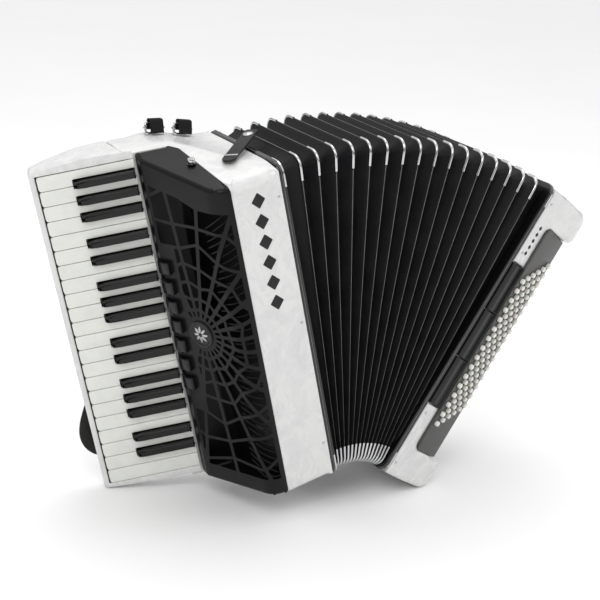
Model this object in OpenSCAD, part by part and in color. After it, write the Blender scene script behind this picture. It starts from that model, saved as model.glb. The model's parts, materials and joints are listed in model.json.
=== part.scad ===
// Piano accordion, stood open on the floor with its bellows fanned.
// Each case is drawn in its own upright frame: x runs across the bellows towards the bass,
// y runs from the front to the player, and z runs along the keyboard from its high end up.
// treble() and bass() then lean those frames into the open fan.

/* [Keyboard] */
// Width of one white key, gap included
key_pitch = 19.8; // [18.5:0.1:20.2]
// Length of a white key outside the grille
white_len = 120; // [100:1:135]
// Length of a black key outside the grille
black_len = 77; // [60:1:85]
// Width of a black key at its foot
black_w = 11; // [9:0.5:12]
// Height of a black key above the white ones
black_rise = 8.5; // [5:0.5:11]
// Angle of the key tops to the case's front
key_tilt = 23; // [10:1:30]
// Angle that a key turns when it is pressed home
key_dip = 1.4; // [1:0.1:1.5]

/* [Bellows] */
// Length of the folds along the keyboard
bellows_h = 432; // [420:1:440]
// Depth of the folds from front to back
bellows_d = 170; // [160:1:172]
// Number of outward folds
fold_count = 16; // [10:1:18]
// Depth of a fold, from its outer edge to its inner one
fold_depth = 15; // [10:1:20]
// Thickness of the folded card and cloth
fold_wall = 1.6; // [1:0.1:3]
// Distance from the folds' low end to the line in which their planes meet
fan_drop = 95; // [85:1:110]
// Turn of the treble case from the fan's middle
treble_turn = -24.75; // [-27:0.25:-20]
// Turn of the bass case from the fan's middle
bass_turn = 22.5; // [18:0.25:25]

/* [Cases] */
// Depth of both cases from front to back
case_d = 184; // [180:1:190]
// Thickness of the case walls
wall = 5; // [4:0.5:7]
// Width of the treble case's white front band
band_w = 66; // [55:1:75]
// Width of the bass case
bass_w = 100; // [90:1:110]
// Width of the bass case's front, behind the registers
bass_front_w = 25; // [20:1:30]
// Width of the bass case's end lobes
lobe_w = 72; // [65:1:80]

/* [Bass buttons] */
// Buttons in one column
button_rows = 16; // [10:1:16]
// Columns of buttons
button_columns = 6; // [4:1:6]
// Distance between the buttons of a column
row_pitch = 14.67; // [13:0.01:15]
// Distance between the columns
column_pitch = 12.4; // [11:0.1:12.5]
// Rise of each column over the one before it
column_rise = 7.9; // [5:0.1:9]
// Radius of a button
button_r = 3.7; // [3:0.1:4]

/* [Hidden] */
$fn = 48;

// Keyboard. Key frame: x is 0 at the grille's lip and falls towards the free ends, y is 0 at
// the white tops and rises into the keyboard, z is as in the case frame.
white_count = 22;
keys_top = 454.5;
key_gap = 0.9;
lip_x = -137;
lip_y = 122;
key_h = 12;
tail_len = 50;
tail_w = 9.8;
tail_top = 3;
semitone_pitch = key_pitch * 7 / 12;
first_arm_drop = 5.9;
arm_limit = 449.5;
neck = 2;
pivot_x = 42;
pivot_y = 8;
axle_r = 1.5;
axle_gap = 0.06;
head_clear = 0.8;
cheek_gap = 0.6;
bed_y = key_h + (white_len + pivot_x) * sin(key_dip) + 1;
bed_h = 4;
bearing_t = 2;
bearing_low = 13;
bearing_high = arm_limit + 0.6;
rail_x = -129;
rail_gap = 1.5;
keyboard_low = 11;
keyboard_high = 462;
black_shift = [2.4, 0, -2.4, 0, 1.9, -1.9, 0];
has_black = [true, true, true, false, true, true, false];
white_semitone = [0, 2, 4, 6, 7, 9, 11];

// Treble case
edge_x = -9;
band_x = edge_x - band_w;
case_low = 3;
case_high = 434;
front_high = 428;
front_slope = 0.25;
board_x = -50;
board_h = 8;
action_back = -150;
corner_r = 14;
hole_w = 6;
hole_h = 26;
hole_inset = 3;
pallet_y = [38, 72];
pallet_top = 424;
pallet_pitch = 11.1;
pallet_len = 32;
pallet_w = 9;
pallet_t = 6;
pallet_gap = 0.4;
lever_w = 2.6;

// Grille
grille_t = 2.5;
grille_front = -1;
grille_gap = 0.3;
grille_proud = 0.5;
grille_low = 6;
ridge = [-104, 22];
lip_edge = [lip_x + 1, lip_y - 14];
lip_end = [lip_x + 1.5, lip_y - 3];
roll_r = 24;
slant = (lip_edge - ridge) / norm(lip_edge - ridge);
slant_out = [-slant[1], slant[0]];
roll_y = grille_front + roll_r;
roll = [(slant_out * ridge - roll_r - slant_out[1] * roll_y) / slant_out[0], roll_y];
roll_end = atan2(slant_out[1], slant_out[0]);
grille_back = [[-133.5, 127], [-92, 117], [-84, 105]];
badge = [-121, 66];
badge_z = 228;
slot_w = 6;
slot_from = 24;
slot_to = 62;
register_z = 152;
register_pitch = 27.1;
register_count = 7;
register_w = 18;
screw = [-88, 66];
screw_r = 5;
shank_r = 2;

// Bellows and their end frames
frame_t = 8;
edge_gap = 0.2;
frame_gap = 0.3;
end_inset = 9;
frame_in = 2;
frame_wall = 19;
frame_ends = 11;
bellows_y = (case_d - bellows_d) / 2;
fold_corner = 14;
bass_fold_turn = bass_turn - 0.45;
guard_t = 0.9;
guard_w = 1.6;
guard_arm = 17;

// Bass case
bass_low = -2;
bass_high = 431;
outer_r = 26;
lobe_h = 45;
front_edge_y = 43;
plate_t = 3;
plate_turn = atan2(front_edge_y, bass_w - 2 - bass_front_w);
plate_from = 2.2;
plate_ledge = 5;
slot_depth = 10.8;
front_wall = 14;
sound_board_x = 23;
sound_board_t = 6;
button_low = 87;
button_first = 10;
comb = [plate_t + 2.8, plate_t + 4.3];
comb_edge = 4;
button_h = 5.5;
button_gap = 0.5;
register_top = 322;
register_len = 72;
bar_gap = 0.6;
strap_y = [78, 142];
strap_t = 3.5;
strap_bow = 21;
air_r = 8;
bracket_x = [-86, -50];
bracket_y = 168;
bracket_w = 11;
bracket_bar = 2;
bracket_h = 16;
webbing_w = 16;
bellows_strap = [98, 18, 3];

// The open fan stands on the keyboard's low outer corner and the bass case's low lobe.
foot_r = 6;
function turned(p, a) = [p[0] * cos(a) + p[1] * sin(a), -p[0] * sin(a) + p[1] * cos(a)];
keyboard_edge_x = lip_x + rail_x * cos(key_tilt);
keyboard_foot = turned([keyboard_edge_x + foot_r, fan_drop + keyboard_low + foot_r], treble_turn);
bass_foot = turned([bass_w - outer_r, fan_drop + bass_low + outer_r], bass_turn);
foot_step = bass_foot - keyboard_foot;
lean = atan2(foot_step[1], foot_step[0]) - asin((outer_r - foot_r) / norm(foot_step));
stand_z = foot_r - turned(keyboard_foot, lean)[1];
far_left = turned([keyboard_edge_x + foot_r, fan_drop + keyboard_high - foot_r], treble_turn + lean);
far_right = turned([bass_w - outer_r, fan_drop + bass_high - outer_r], bass_turn + lean);
stand_x = (far_left[0] - foot_r + far_right[0] + outer_r) / 2;
stand_y = 96;

module lean_in(turn) {
    translate([-stand_x, -stand_y, stand_z]) rotate([0, turn + lean, 0])
        translate([0, 0, fan_drop]) children();
}
module treble() { lean_in(treble_turn) children(); }
module bass() { lean_in(bass_turn) children(); }
module key_frame() { translate([lip_x, lip_y, 0]) rotate([0, 0, -key_tilt]) children(); }

// A flat outline in x and z, carried back from y = low to y = high
module along_y(low, high) { translate([0, high, 0]) rotate([90, 0, 0]) linear_extrude(high - low) children(); }

module box(low, high) { translate(low) cube(high - low); }

// A quarter arc of points about c from angle a to angle b
function arc(c, r, a, b, n = 8) = [for (i = [0:n]) c + r * [cos(a + (b - a) * i / n), sin(a + (b - a) * i / n)]];

// ---------- Treble case ----------

// Upper edge of the case seen from the front: it swells from the bellows to the keyboard.
function swell(t) = case_high + (keyboard_high - case_high) * t * t * (3 - 2 * t);

module case_side() {
    steps = 10;
    span = band_x - 34 - edge_x;
    polygon(concat([[edge_x, case_low], [action_back, case_low], [action_back, keyboard_high]],
        [for (i = [steps:-1:0]) [edge_x + span * i / steps, swell(i / steps)]]));
}

module case_plan() {
    polygon(concat([[edge_x, 0], [band_x, 0]],
        [for (i = [2, 1, 0]) grille_back[i] + grille_gap * (i == 2 ? [1, 0] : [0.2, 1])],
        [[action_back + 4, lip_y + 9], [action_back + 4, case_d]],
        arc([edge_x - 8, case_d - 8], 8, 90, 0)));
}

// Everything under the upper end, which rises from the front to the keyboard behind a corner
// of radius r
module under_slope(drop, r, front = 0) {
    top = front_high - drop;
    turn = atan(front_slope);
    mid = [front + r, top + front_slope * front - r * (1 / cos(turn) - tan(turn))];
    translate([-400, 0, 0]) rotate([90, 0, 90]) linear_extrude(600)
        polygon(concat([[220, -20], [220, keyboard_high - drop], [(keyboard_high - front_high) / front_slope,
            keyboard_high - drop]], arc(mid, r, 90 + turn, 180, 6), [[front, -20]]));
}

module treble_case() {
    color("ghostwhite") treble() difference() {
        intersection() {
            translate([0, 0, -20]) linear_extrude(520) case_plan();
            along_y(-1, case_d + 1) case_side();
            under_slope(0, corner_r);
        }
        // Bellows side
        intersection() {
            box([board_x + board_h, wall, case_low + wall], [edge_x + 1, case_d - wall, 440]);
            translate([0, 0, -wall]) along_y(-1, case_d + 1) case_side();
            under_slope(wall, corner_r - wall, wall);
        }
        // Action side, open to the grille
        intersection() {
            translate([0, 0, case_low + wall]) linear_extrude(460)
                polygon([[board_x, wall], [band_x - 10, wall], [action_back, 20], [action_back, case_d - wall],
                    [board_x, case_d - wall]]);
            translate([0, 0, -wall]) along_y(-1, case_d + 1) case_side();
            under_slope(wall, corner_r - wall, wall);
        }
        tone_holes();
    }
}

module tone_holes() {
    for (n = [0:36])
        translate([board_x - 1, pallet_y[n % 2] + hole_inset, pallet_z(n) - hole_w / 2])
            cube([board_h + 2, hole_h, hole_w]);
}

// ---------- Keyboard ----------

function arm_z(n) = keys_top - first_arm_drop - n * semitone_pitch;
function arm_low(n) = arm_z(n) - tail_w / 2;
function arm_high(n) = min(arm_z(n) + tail_w / 2, arm_limit);
function pallet_z(n) = pallet_top - n * pallet_pitch;
function key_point(x, y) = [lip_x + x * cos(key_tilt) + y * sin(key_tilt), lip_y - x * sin(key_tilt) + y * cos(key_tilt)];
function edge_z(k) = keys_top - k * key_pitch;
function has_black_below(k) = k >= 0 && k < white_count - 1 && has_black[k % 7];
function black_z(k) = edge_z(k + 1) + black_shift[k % 7];
function tail_high(k) = has_black_below(k - 1) ? black_z(k - 1) - black_w / 2 - head_clear : edge_z(k) - key_gap / 2;
function tail_low(k) = has_black_below(k) ? black_z(k) + black_w / 2 + head_clear : edge_z(k + 1) + key_gap / 2;
function white_note(k) = 12 * floor(k / 7) + white_semitone[k % 7];

module keyboard_frame() {
    cheek_low = edge_z(white_count) - cheek_gap;
    cheek_high = edge_z(0) + cheek_gap;
    back = key_point(rail_x, bed_y + bed_h + 0.6);
    wall_x = action_back + 4;
    color("ghostwhite") treble() {
        for (z = [[keyboard_low, cheek_low], [cheek_high, keyboard_high]])
            translate([0, 0, z[0]]) linear_extrude(z[1] - z[0]) polygon([key_point(-0.8, 0.5),
                key_point(rail_x + 3, 0.5), key_point(rail_x, 4), back, [wall_x, case_d], [wall_x, lip_y + 9]]);
        // Front rail, key bed and back cover in one
        translate([0, 0, cheek_low - 1]) linear_extrude(cheek_high - cheek_low + 2)
            polygon([key_point(rail_x + 2, 1.5), key_point(-white_len - rail_gap, 1.5),
                key_point(-white_len - rail_gap, bed_y), key_point(-5, bed_y), key_point(-5, bed_y + bed_h),
                key_point(rail_x + 14, bed_y + bed_h), [wall_x - 0.3, case_d - 4], [wall_x - 0.3, case_d - 0.4],
                key_point(rail_x + 0.5, bed_y + bed_h), key_point(rail_x + 0.5, 4)]);
        for (z = [bearing_low, bearing_high]) key_frame() bearing(z);
    }
}

// A plate beside the keys that reaches from the bed up to the axle
module bearing(z) {
    translate([0, 0, z]) linear_extrude(bearing_t) difference() {
        polygon([[-8, bed_y + 0.5], [pivot_x - 18, bed_y + 0.5], [pivot_x - 5, key_h], [pivot_x - 5, tail_top],
            [pivot_x + 5, tail_top], [pivot_x + 5, key_h + 1], [pivot_x - 12, bed_y + bed_h - 0.5],
            [-8, bed_y + bed_h - 0.5]]);
        translate([pivot_x, pivot_y]) circle(r = axle_r);
    }
}

module key_axle() {
    color("silver") treble() key_frame()
        translate([pivot_x, pivot_y, bearing_low]) cylinder(r = axle_r, h = bearing_high + bearing_t - bearing_low);
}

// The hidden part of key n: its neck out of the key's own width, its tail on the axle, its
// lever and the pallet over its tone hole
module key_tail(n, own_low, own_high) {
    low = max(own_low, arm_low(n));
    difference() {
        union() {
            box([-neck, tail_top, low], [neck, key_h, min(own_high, arm_high(n))]);
            box([0.2, tail_top, arm_low(n)], [tail_len, key_h, arm_high(n)]);
        }
        translate([pivot_x, pivot_y, arm_low(n) - 1]) cylinder(r = axle_r + axle_gap, h = tail_w + 2);
    }
}

// A square bar from point a to point b
module bar(a, b, w) {
    d = b - a;
    translate(a) rotate([0, acos(d[2] / norm(d)), atan2(d[1], d[0])]) translate([-w / 2, -w / 2, 0])
        cube([w, w, norm(d)]);
}

module key_lever(n) {
    pad = board_x - pallet_gap;
    y = pallet_y[n % 2];
    from = key_point(tail_len - 4, pivot_y);
    bar([from[0], from[1], (arm_low(n) + arm_high(n)) / 2], [pad - pallet_t / 2, y + pallet_len / 2, pallet_z(n)], lever_w);
    translate([pad - pallet_t, y, pallet_z(n) - pallet_w / 2]) cube([pallet_t, pallet_len, pallet_w]);
}

module white_key(k) {
    n = white_note(k);
    color("ivory") treble() {
        key_frame() {
            box([-white_len, 0, edge_z(k + 1) + key_gap / 2], [-black_len - head_clear, key_h, edge_z(k) - key_gap / 2]);
            box([-black_len - head_clear - 1, 0, tail_low(k)], [-0.6, key_h, tail_high(k)]);
            key_tail(n, tail_low(k), tail_high(k));
        }
        key_lever(n);
    }
}

module black_key(k) {
    n = white_note(k) + 1;
    z = black_z(k);
    color("dimgray") treble() {
        key_frame() {
            translate([0, 0, z - black_w / 2]) linear_extrude(black_w)
                polygon([[-black_len, key_h], [-black_len, 0], [-black_len + 5, -black_rise],
                    [-1.2, -black_rise], [-1.2, key_h]]);
            key_tail(n, z - black_w / 2, z + black_w / 2);
        }
        key_lever(n);
    }
}

// ---------- Grille ----------

// The grille is a bent cover: a front strip, a roll of radius roll_r, and a slanted face that
// ends in a lip over the keys.
module grille_plan() {
    polygon(concat([[band_x - grille_gap, grille_front]], arc(roll, roll_r, -90, roll_end),
        [lip_edge, lip_end], grille_back));
}

// Its hollow, open at the back towards the action and over the key tails
module grille_hollow() {
    open_y = lip_end[1] + 0.2;
    polygon(concat([[band_x + 20, grille_front + grille_t]], arc(roll, roll_r - grille_t, -90, roll_end),
        [lip_edge - grille_t * slant_out, lip_end + [grille_t, -grille_t], lip_end + [4, -grille_t],
        [lip_end[0] + 4, open_y], [lip_x - 20, open_y], [lip_x - 20, 150], [band_x + 20, 150]]));
}

module treble_grille() {
    color("darkslategray") treble() difference() {
        intersection() {
            translate([0, 0, grille_low]) linear_extrude(keyboard_high) grille_plan();
            under_slope(-grille_proud, corner_r / 2, grille_front);
        }
        intersection() {
            translate([0, 0, grille_low + grille_t]) linear_extrude(keyboard_high) grille_hollow();
            under_slope(grille_t, corner_r / 2, grille_front);
        }
        for (a = [20:20:160]) { slot_ray(a); slot_ray(a + 180); }
        register_cutout();
        translate([screw[0], screw[1], -20]) cylinder(r = shank_r + 0.1, h = keyboard_high + 40);
    }
}

// A slot that spreads from the badge over the slanted face
module slot_ray(a) {
    translate([badge[0], badge[1], badge_z]) rotate([0, 0, roll_end + 90]) rotate([0, a, 0])
        translate([slot_from, -8, -slot_w / 2]) cube([min(slot_to, 40 / max(abs(cos(a)), 0.01)) - slot_from, 16, slot_w]);
}

module register_cutout() {
    box([lip_x - 12, lip_y - 34, register_z - register_pitch / 2],
        [lip_x + 13, lip_y + 0.5, register_z + register_pitch * (register_count - 0.5)]);
}

module grille_screws() {
    head_h = 7;
    top = front_high + front_slope * (screw[1] + screw_r) + grille_proud + 0.2;
    color("silver") treble() translate([screw[0], screw[1], 0]) {
        translate([0, 0, top]) cylinder(r = screw_r, h = head_h);
        translate([0, 0, top - 14]) cylinder(r = shank_r, h = 14 + head_h / 2);
        translate([0, 0, grille_low - head_h - 0.2]) cylinder(r = screw_r, h = head_h);
        translate([0, 0, grille_low - head_h / 2]) cylinder(r = shank_r, h = 14);
    }
}

module treble_registers() {
    color("dimgray") treble() for (i = [0:register_count - 1])
        translate([0, 0, register_z + i * register_pitch - register_w / 2]) linear_extrude(register_w)
            polygon([[lip_x - 4.5, lip_y - 14.5], [lip_x - 3.2, lip_y - 21], [lip_x + 0.5, lip_y - 31],
                [lip_x + 9, lip_y - 28.5], [lip_x + 10, lip_y - 9], [lip_x - 1, lip_y - 6]]);
}

// ---------- Reed blocks ----------

// A row of reed chambers with a plate on each side
module reed_block(len, depth) {
    box([0, -7, 0], [depth, 7, len]);
    plates = floor(len / 17) - 1;
    for (i = [0:plates], side = [-1, 1])
        box([3, side * 8 - 1.2, 4 + i * 17], [depth - 3, side * 8 + 1.2, 18 + i * 17]);
}

module treble_reed_blocks() {
    color("tan") treble() for (y = [40, 74, 108, 142])
        translate([board_x + board_h + 0.1, y, 28]) reed_block(380, 50);
}

module bass_reed_blocks() {
    color("tan") bass() for (y = [40, 92, 144])
        translate([sound_board_x - 0.1, y, 40]) mirror([1, 0, 0]) reed_block(340, 42);
}

// ---------- Bellows ----------

module bellows_frame() {
    color("black") translate([-edge_gap - frame_t, 0, 0]) rotate([90, 0, 90]) linear_extrude(frame_t) difference() {
        rounded([frame_in, case_low - 5], [case_d - frame_in, case_low + bellows_h - 1], fold_corner);
        rounded([frame_in + frame_wall, case_low + frame_ends],
            [case_d - frame_in - frame_wall, bellows_h - frame_ends - 2], 6);
    }
}

// A rectangle with round corners from low to high
module rounded(low, high, r) {
    polygon(concat(arc([high[0] - r, high[1] - r], r, 0, 90, 5), arc([low[0] + r, high[1] - r], r, 90, 180, 5),
        arc([low[0] + r, low[1] + r], r, 180, 270, 5), arc([high[0] - r, low[1] + r], r, 270, 360, 5)));
}

module bellows_treble_frame() { treble() bellows_frame(); }
module bellows_bass_frame() { bass() bellows_frame(); }

// The folds are loops of points on planes that turn about the fan's line. t runs from the
// treble frame at 0 to the bass frame at 1, and inset moves a loop inwards.
function fold_turn(t) = treble_turn + (bass_fold_turn - treble_turn) * t;
function fold_loop(turn, shift, inset) = let (l = fan_drop + inset, h = fan_drop + bellows_h - inset,
    f = bellows_y + inset, b = bellows_y + bellows_d - inset, c = fold_corner - min(inset, 8))
    [for (p = [[f + c, l], [b - c, l], [b, l + c], [b, h - c], [b - c, h], [f + c, h], [f, h - c], [f, l + c]])
        [p[1] * sin(turn) + shift * cos(turn), p[0], p[1] * cos(turn) - shift * sin(turn)]];
// Loop 0 lies on the treble frame, the last loop on the bass frame, and odd loops are peaks.
fold_steps = 2 * fold_count;
function fold_ring(j, grow) = j == 0 ? fold_loop(treble_turn, frame_gap - edge_gap, end_inset + grow)
    : j == fold_steps ? fold_loop(bass_turn, -frame_t - frame_gap - edge_gap, end_inset + grow)
    : fold_loop(fold_turn((j + 1) / 2 / (fold_count + 1)), 0, (j % 2 == 1 ? 0 : fold_depth) + grow);

module bellows_folds() {
    ring = 8;
    count = fold_steps + 1;
    outer = [for (j = [0:fold_steps]) each fold_ring(j, 0)];
    inner = [for (j = [0:fold_steps]) each fold_ring(j, fold_wall + 6)];
    size = count * ring;
    function quad(a, b, c, d) = [[a, b, c], [a, c, d]];
    faces = concat(
        [for (j = [0:fold_steps - 1], i = [0:ring - 1]) let (n = (i + 1) % ring)
            each quad(j * ring + i, j * ring + n, (j + 1) * ring + n, (j + 1) * ring + i)],
        [for (j = [0:fold_steps - 1], i = [0:ring - 1]) let (n = (i + 1) % ring)
            each quad(size + (j + 1) * ring + i, size + (j + 1) * ring + n, size + j * ring + n, size + j * ring + i)],
        [for (i = [0:ring - 1]) let (n = (i + 1) % ring) each quad(i, size + i, size + n, n)],
        [for (i = [0:ring - 1]) let (n = (i + 1) % ring, o = fold_steps * ring)
            each quad(o + n, size + o + n, size + o + i, o + i)]);
    color("black") translate([-stand_x, -stand_y, stand_z]) rotate([0, lean, 0])
        polyhedron(concat(outer, inner), faces);
}

// Metal guards round the four corners of each outward fold
module bellows_corners() {
    color("silver") translate([-stand_x, -stand_y, stand_z]) rotate([0, lean, 0])
        for (i = [1:fold_count], y = [0, 1], z = [0, 1])
            // The last fold's low corners are inside the bass frame
            if (i < fold_count || z == 1) rotate([0, fold_turn(i / (fold_count + 1)), 0]) guard(y, z);
}

module guard(y, z) {
    in = -0.1;
    out = -0.1 - guard_t;
    translate([-guard_w / 2, y == 0 ? bellows_y : bellows_y + bellows_d, z == 0 ? fan_drop : fan_drop + bellows_h])
        mirror([0, y, 0]) mirror([0, 0, z]) rotate([90, 0, 90]) linear_extrude(guard_w)
            polygon([[guard_arm, in], [fold_corner, in], [in, fold_corner], [in, guard_arm],
                [out, guard_arm], [out, fold_corner - 0.4], [fold_corner - 0.4, out], [guard_arm, out]]);
}

// ---------- Bass case ----------

module bass_outline(x, r, t = 0) {
    polygon(concat([[t, bass_low + t]], arc([x - r, bass_low + r], r - t, -90, 0), arc([x - r, bass_high - r], r - t, 0, 90),
        [[t, bass_high - t]]));
}

module bass_case() {
    color("ghostwhite") bass() {
        difference() {
            intersection() {
                along_y(-1, case_d + 1) bass_outline(bass_w, outer_r);
                translate([0, 0, bass_low - 1]) linear_extrude(bass_high + 5)
                    polygon(concat([[0, 0]], arc([lobe_w, front_edge_y], bass_w - lobe_w, -90, 0),
                        arc([bass_w - 8, case_d - 8], 8, 0, 90), [[0, case_d]]));
            }
            intersection() {
                along_y(-1, case_d + 1) translate([-wall - 2, 0]) bass_outline(bass_w + wall + 2, outer_r, wall);
                linear_extrude(bass_high) bass_cavity(-1);
            }
            button_recess();
            plate_frame() box([plate_ledge, -1, bass_low + lobe_h + 8],
                [plate_len() - plate_ledge, 30, bass_high - lobe_h - 8]);
            register_slot();
            air_place() translate([0, 0, -wall - 1]) cylinder(r = air_r + 0.5, h = wall + 2);
        }
        // Sound board that carries the reed blocks
        box([sound_board_x, front_wall + 5, bass_low + wall / 2],
            [sound_board_x + sound_board_t, case_d - wall / 2, bass_high - wall / 2]);
    }
}

module bass_cavity(from) {
    polygon([[from, front_wall], [bass_front_w - 3, front_wall], [bass_w - wall, front_edge_y + front_wall],
        [bass_w - wall, case_d - wall], [from, case_d - wall]]);
}

// The slanted recess between the end lobes, with round inner corners at the front band
module button_recess() {
    intersection() {
        along_y(-2, front_edge_y + 14) rounded([bass_front_w, bass_low + lobe_h], [bass_w + 40, bass_high - lobe_h], 12);
        plate_frame() box([-20, -90, 0], [bass_w + 40, plate_t + 0.4, bass_high]);
    }
}

module register_slot() {
    box([-1, -1, register_top - 3 * register_len - 0.5], [bass_front_w - 0.4, slot_depth, register_top + 0.5]);
}

// The plate's frame: x runs outwards along the slant, y into the case
function plate_len() = norm([bass_w - 2 - bass_front_w, front_edge_y]);
module plate_frame() { translate([bass_front_w, 0.6, 0]) rotate([0, 0, plate_turn]) children(); }

module button_places() {
    for (c = [0:button_columns - 1], r = [0:button_rows - 1])
        translate([button_first + c * column_pitch, 0, button_low + r * row_pitch + c * column_rise])
            rotate([-90, 0, 0]) children();
}

module bass_button_plate() {
    color("dimgray") bass() plate_frame() difference() {
        box([plate_from, 0.2, bass_low + lobe_h + 1], [plate_len() - 2, plate_t + 0.2, bass_high - lobe_h - 1]);
        button_places() translate([0, 0, -5]) cylinder(r = button_r + button_gap, h = 20, $fn = 16);
    }
}

module bass_buttons() {
    last_x = button_first + (button_columns - 1) * column_pitch;
    last_z = button_low + (button_rows - 1) * row_pitch + (button_columns - 1) * column_rise;
    color("ivory") bass() plate_frame() {
        button_places() translate([0, 0, -button_h]) cylinder(r = button_r, h = button_h + comb[1] - 0.5, $fn = 16);
        box([button_first - comb_edge, comb[0], button_low - 6], [last_x + comb_edge, comb[1], last_z + 6]);
    }
}

module bass_register(i) {
    high = register_top - i * register_len - bar_gap / 2;
    color("dimgray") bass() translate([0, 0, high - register_len + bar_gap]) linear_extrude(register_len - bar_gap)
        polygon([[0.4, 7.4], [0.4, 0.5], [3, -0.8], [8, -0.5], [16, 1.2], [22, -0.2], [24, 0.6], [24, 4.6], [16, 7.4]]);
}

module bass_hand_strap() {
    mid = (bass_low + bass_high) / 2;
    half = 165;
    steps = 16;
    function bow(s) = bass_w + strap_bow * (1 - s * s) * (1 - s * s) + 0.2;
    color("black") bass() along_y(strap_y[0], strap_y[1])
        polygon(concat([for (i = [0:steps]) let (s = -1 + 2 * i / steps) [bow(s), mid + s * half]],
            [for (i = [steps:-1:0]) let (s = -1 + 2 * i / steps) [bow(s) + strap_t, mid + s * half]]));
}

module strap_wheel() {
    color("silver") bass() translate([bass_w - 34, (strap_y[0] + strap_y[1]) / 2, bass_high + 0.4]) difference() {
        cylinder(r = 12, h = 7);
        for (a = [0:20:340]) rotate([0, 0, a]) translate([12.6, 0, -1]) cylinder(r = 1.2, h = 9, $fn = 16);
    }
}

module air_place() { translate([bass_w, 152, 330]) rotate([0, 90, 0]) children(); }

module air_button() {
    color("silver") bass() air_place() translate([0, 0, -wall]) cylinder(r = air_r, h = wall + 6);
}

// ---------- Straps ----------

function top_z(x) = swell((x - edge_x) / (band_x - 34 - edge_x));
// Middle and slope of the case's top under a bracket
function bracket_z(x) = (top_z(x - bracket_w) + top_z(x + bracket_w)) / 2;
function bracket_lean(x) = atan((top_z(x - bracket_w) - top_z(x + bracket_w)) / 2 / bracket_w);
module bracket_place(x) { translate([x, bracket_y, bracket_z(x)]) rotate([0, bracket_lean(x), 0]) translate([0, 0, 0.6]) children(); }

// A plate with a square ring that holds a shoulder strap's loop
module strap_brackets() {
    color("silver") treble() for (x = bracket_x) bracket_place(x) {
        box([-bracket_w, -4, 0], [bracket_w, 4, bracket_bar]);
        box([-bracket_w, -1.2, 1], [-bracket_w + bracket_bar, 1.2, bracket_h]);
        box([bracket_w - bracket_bar, -1.2, 1], [bracket_w, 1.2, bracket_h]);
        box([-bracket_w, -1.2, bracket_h - bracket_bar], [bracket_w, 1.2, bracket_h]);
    }
}

module leather_straps() {
    color("black") treble() {
        for (x = bracket_x) bracket_place(x) translate([-webbing_w / 2, 0, 0])
            rotate([90, 0, 90]) linear_extrude(webbing_w)
                polygon([[-3.8, 6], [-1.7, 6], [-1.7, bracket_h + 0.5], [1.7, bracket_h + 0.5], [1.7, 4.6],
                    [14, 4.6], [14, 6.8], [3.8, 6.8], [3.8, bracket_h + 2.6], [-3.8, bracket_h + 2.6]]);
        // The bellows strap, unsnapped, lies over the case's edge
        translate([-54, 40, 442.5]) rotate([0, 0, 43]) translate([0, -bellows_strap[1] / 2, 0]) cube(bellows_strap);
        // The shoulder strap's low end bends out behind the keyboard and back to the case
        along_y(192.8, 195.8) polygon([[-150, 32], [-200, 38], [-240, 47], [-256, 57], [-263, 70], [-265, 85],
            [-261, 102], [-248, 124], [-222, 162], [-180, 222], [-150, 262], [-150, 222], [-170, 196], [-205, 146],
            [-226, 114], [-232, 98], [-234, 84], [-230, 76], [-222, 72], [-200, 68], [-150, 62]]);
        for (z = [34, 226]) box([-158, 186, z], [-150, 195.8, z + 26]);
    }
}

treble_case();
keyboard_frame();
treble_grille();
grille_screws();
key_axle();
treble_reed_blocks();
treble_registers();
bellows_treble_frame();
bellows_folds();
bellows_corners();
bellows_bass_frame();
bass_case();
bass_button_plate();
bass_buttons();
bass_register(0);  // bass_register_upper
bass_register(1);  // bass_register_middle
bass_register(2);  // bass_register_lower
bass_reed_blocks();
bass_hand_strap();
strap_wheel();
air_button();
strap_brackets();
leather_straps();
white_key(0);  // key_f3
black_key(0);  // key_fs3
white_key(1);  // key_g3
black_key(1);  // key_gs3
white_key(2);  // key_a3
black_key(2);  // key_as3
white_key(3);  // key_b3
white_key(4);  // key_c4
black_key(4);  // key_cs4
white_key(5);  // key_d4
black_key(5);  // key_ds4
white_key(6);  // key_e4
white_key(7);  // key_f4
black_key(7);  // key_fs4
white_key(8);  // key_g4
black_key(8);  // key_gs4
white_key(9);  // key_a4
black_key(9);  // key_as4
white_key(10);  // key_b4
white_key(11);  // key_c5
black_key(11);  // key_cs5
white_key(12);  // key_d5
black_key(12);  // key_ds5
white_key(13);  // key_e5
white_key(14);  // key_f5
black_key(14);  // key_fs5
white_key(15);  // key_g5
black_key(15);  // key_gs5
white_key(16);  // key_a5
black_key(16);  // key_as5
white_key(17);  // key_b5
white_key(18);  // key_c6
black_key(18);  // key_cs6
white_key(19);  // key_d6
black_key(19);  // key_ds6
white_key(20);  // key_e6
white_key(21);  // key_f6
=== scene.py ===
"""Looks of a piano accordion that stands open on the ends of its two cases.

Sizes inside the piece functions are millimetres in a case's own upright frame: x runs across
the bellows towards the bass, y from the front to the player, z along the keyboard from its high
notes up. Case.place() carries them to the row frame in metres.
"""
import json
import math

import bmesh
import bpy
import numpy as np
from bpy.props import FloatProperty, FloatVectorProperty, PointerProperty
from mathutils import Matrix, Vector
from mathutils.geometry import delaunay_2d_cdt


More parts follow.
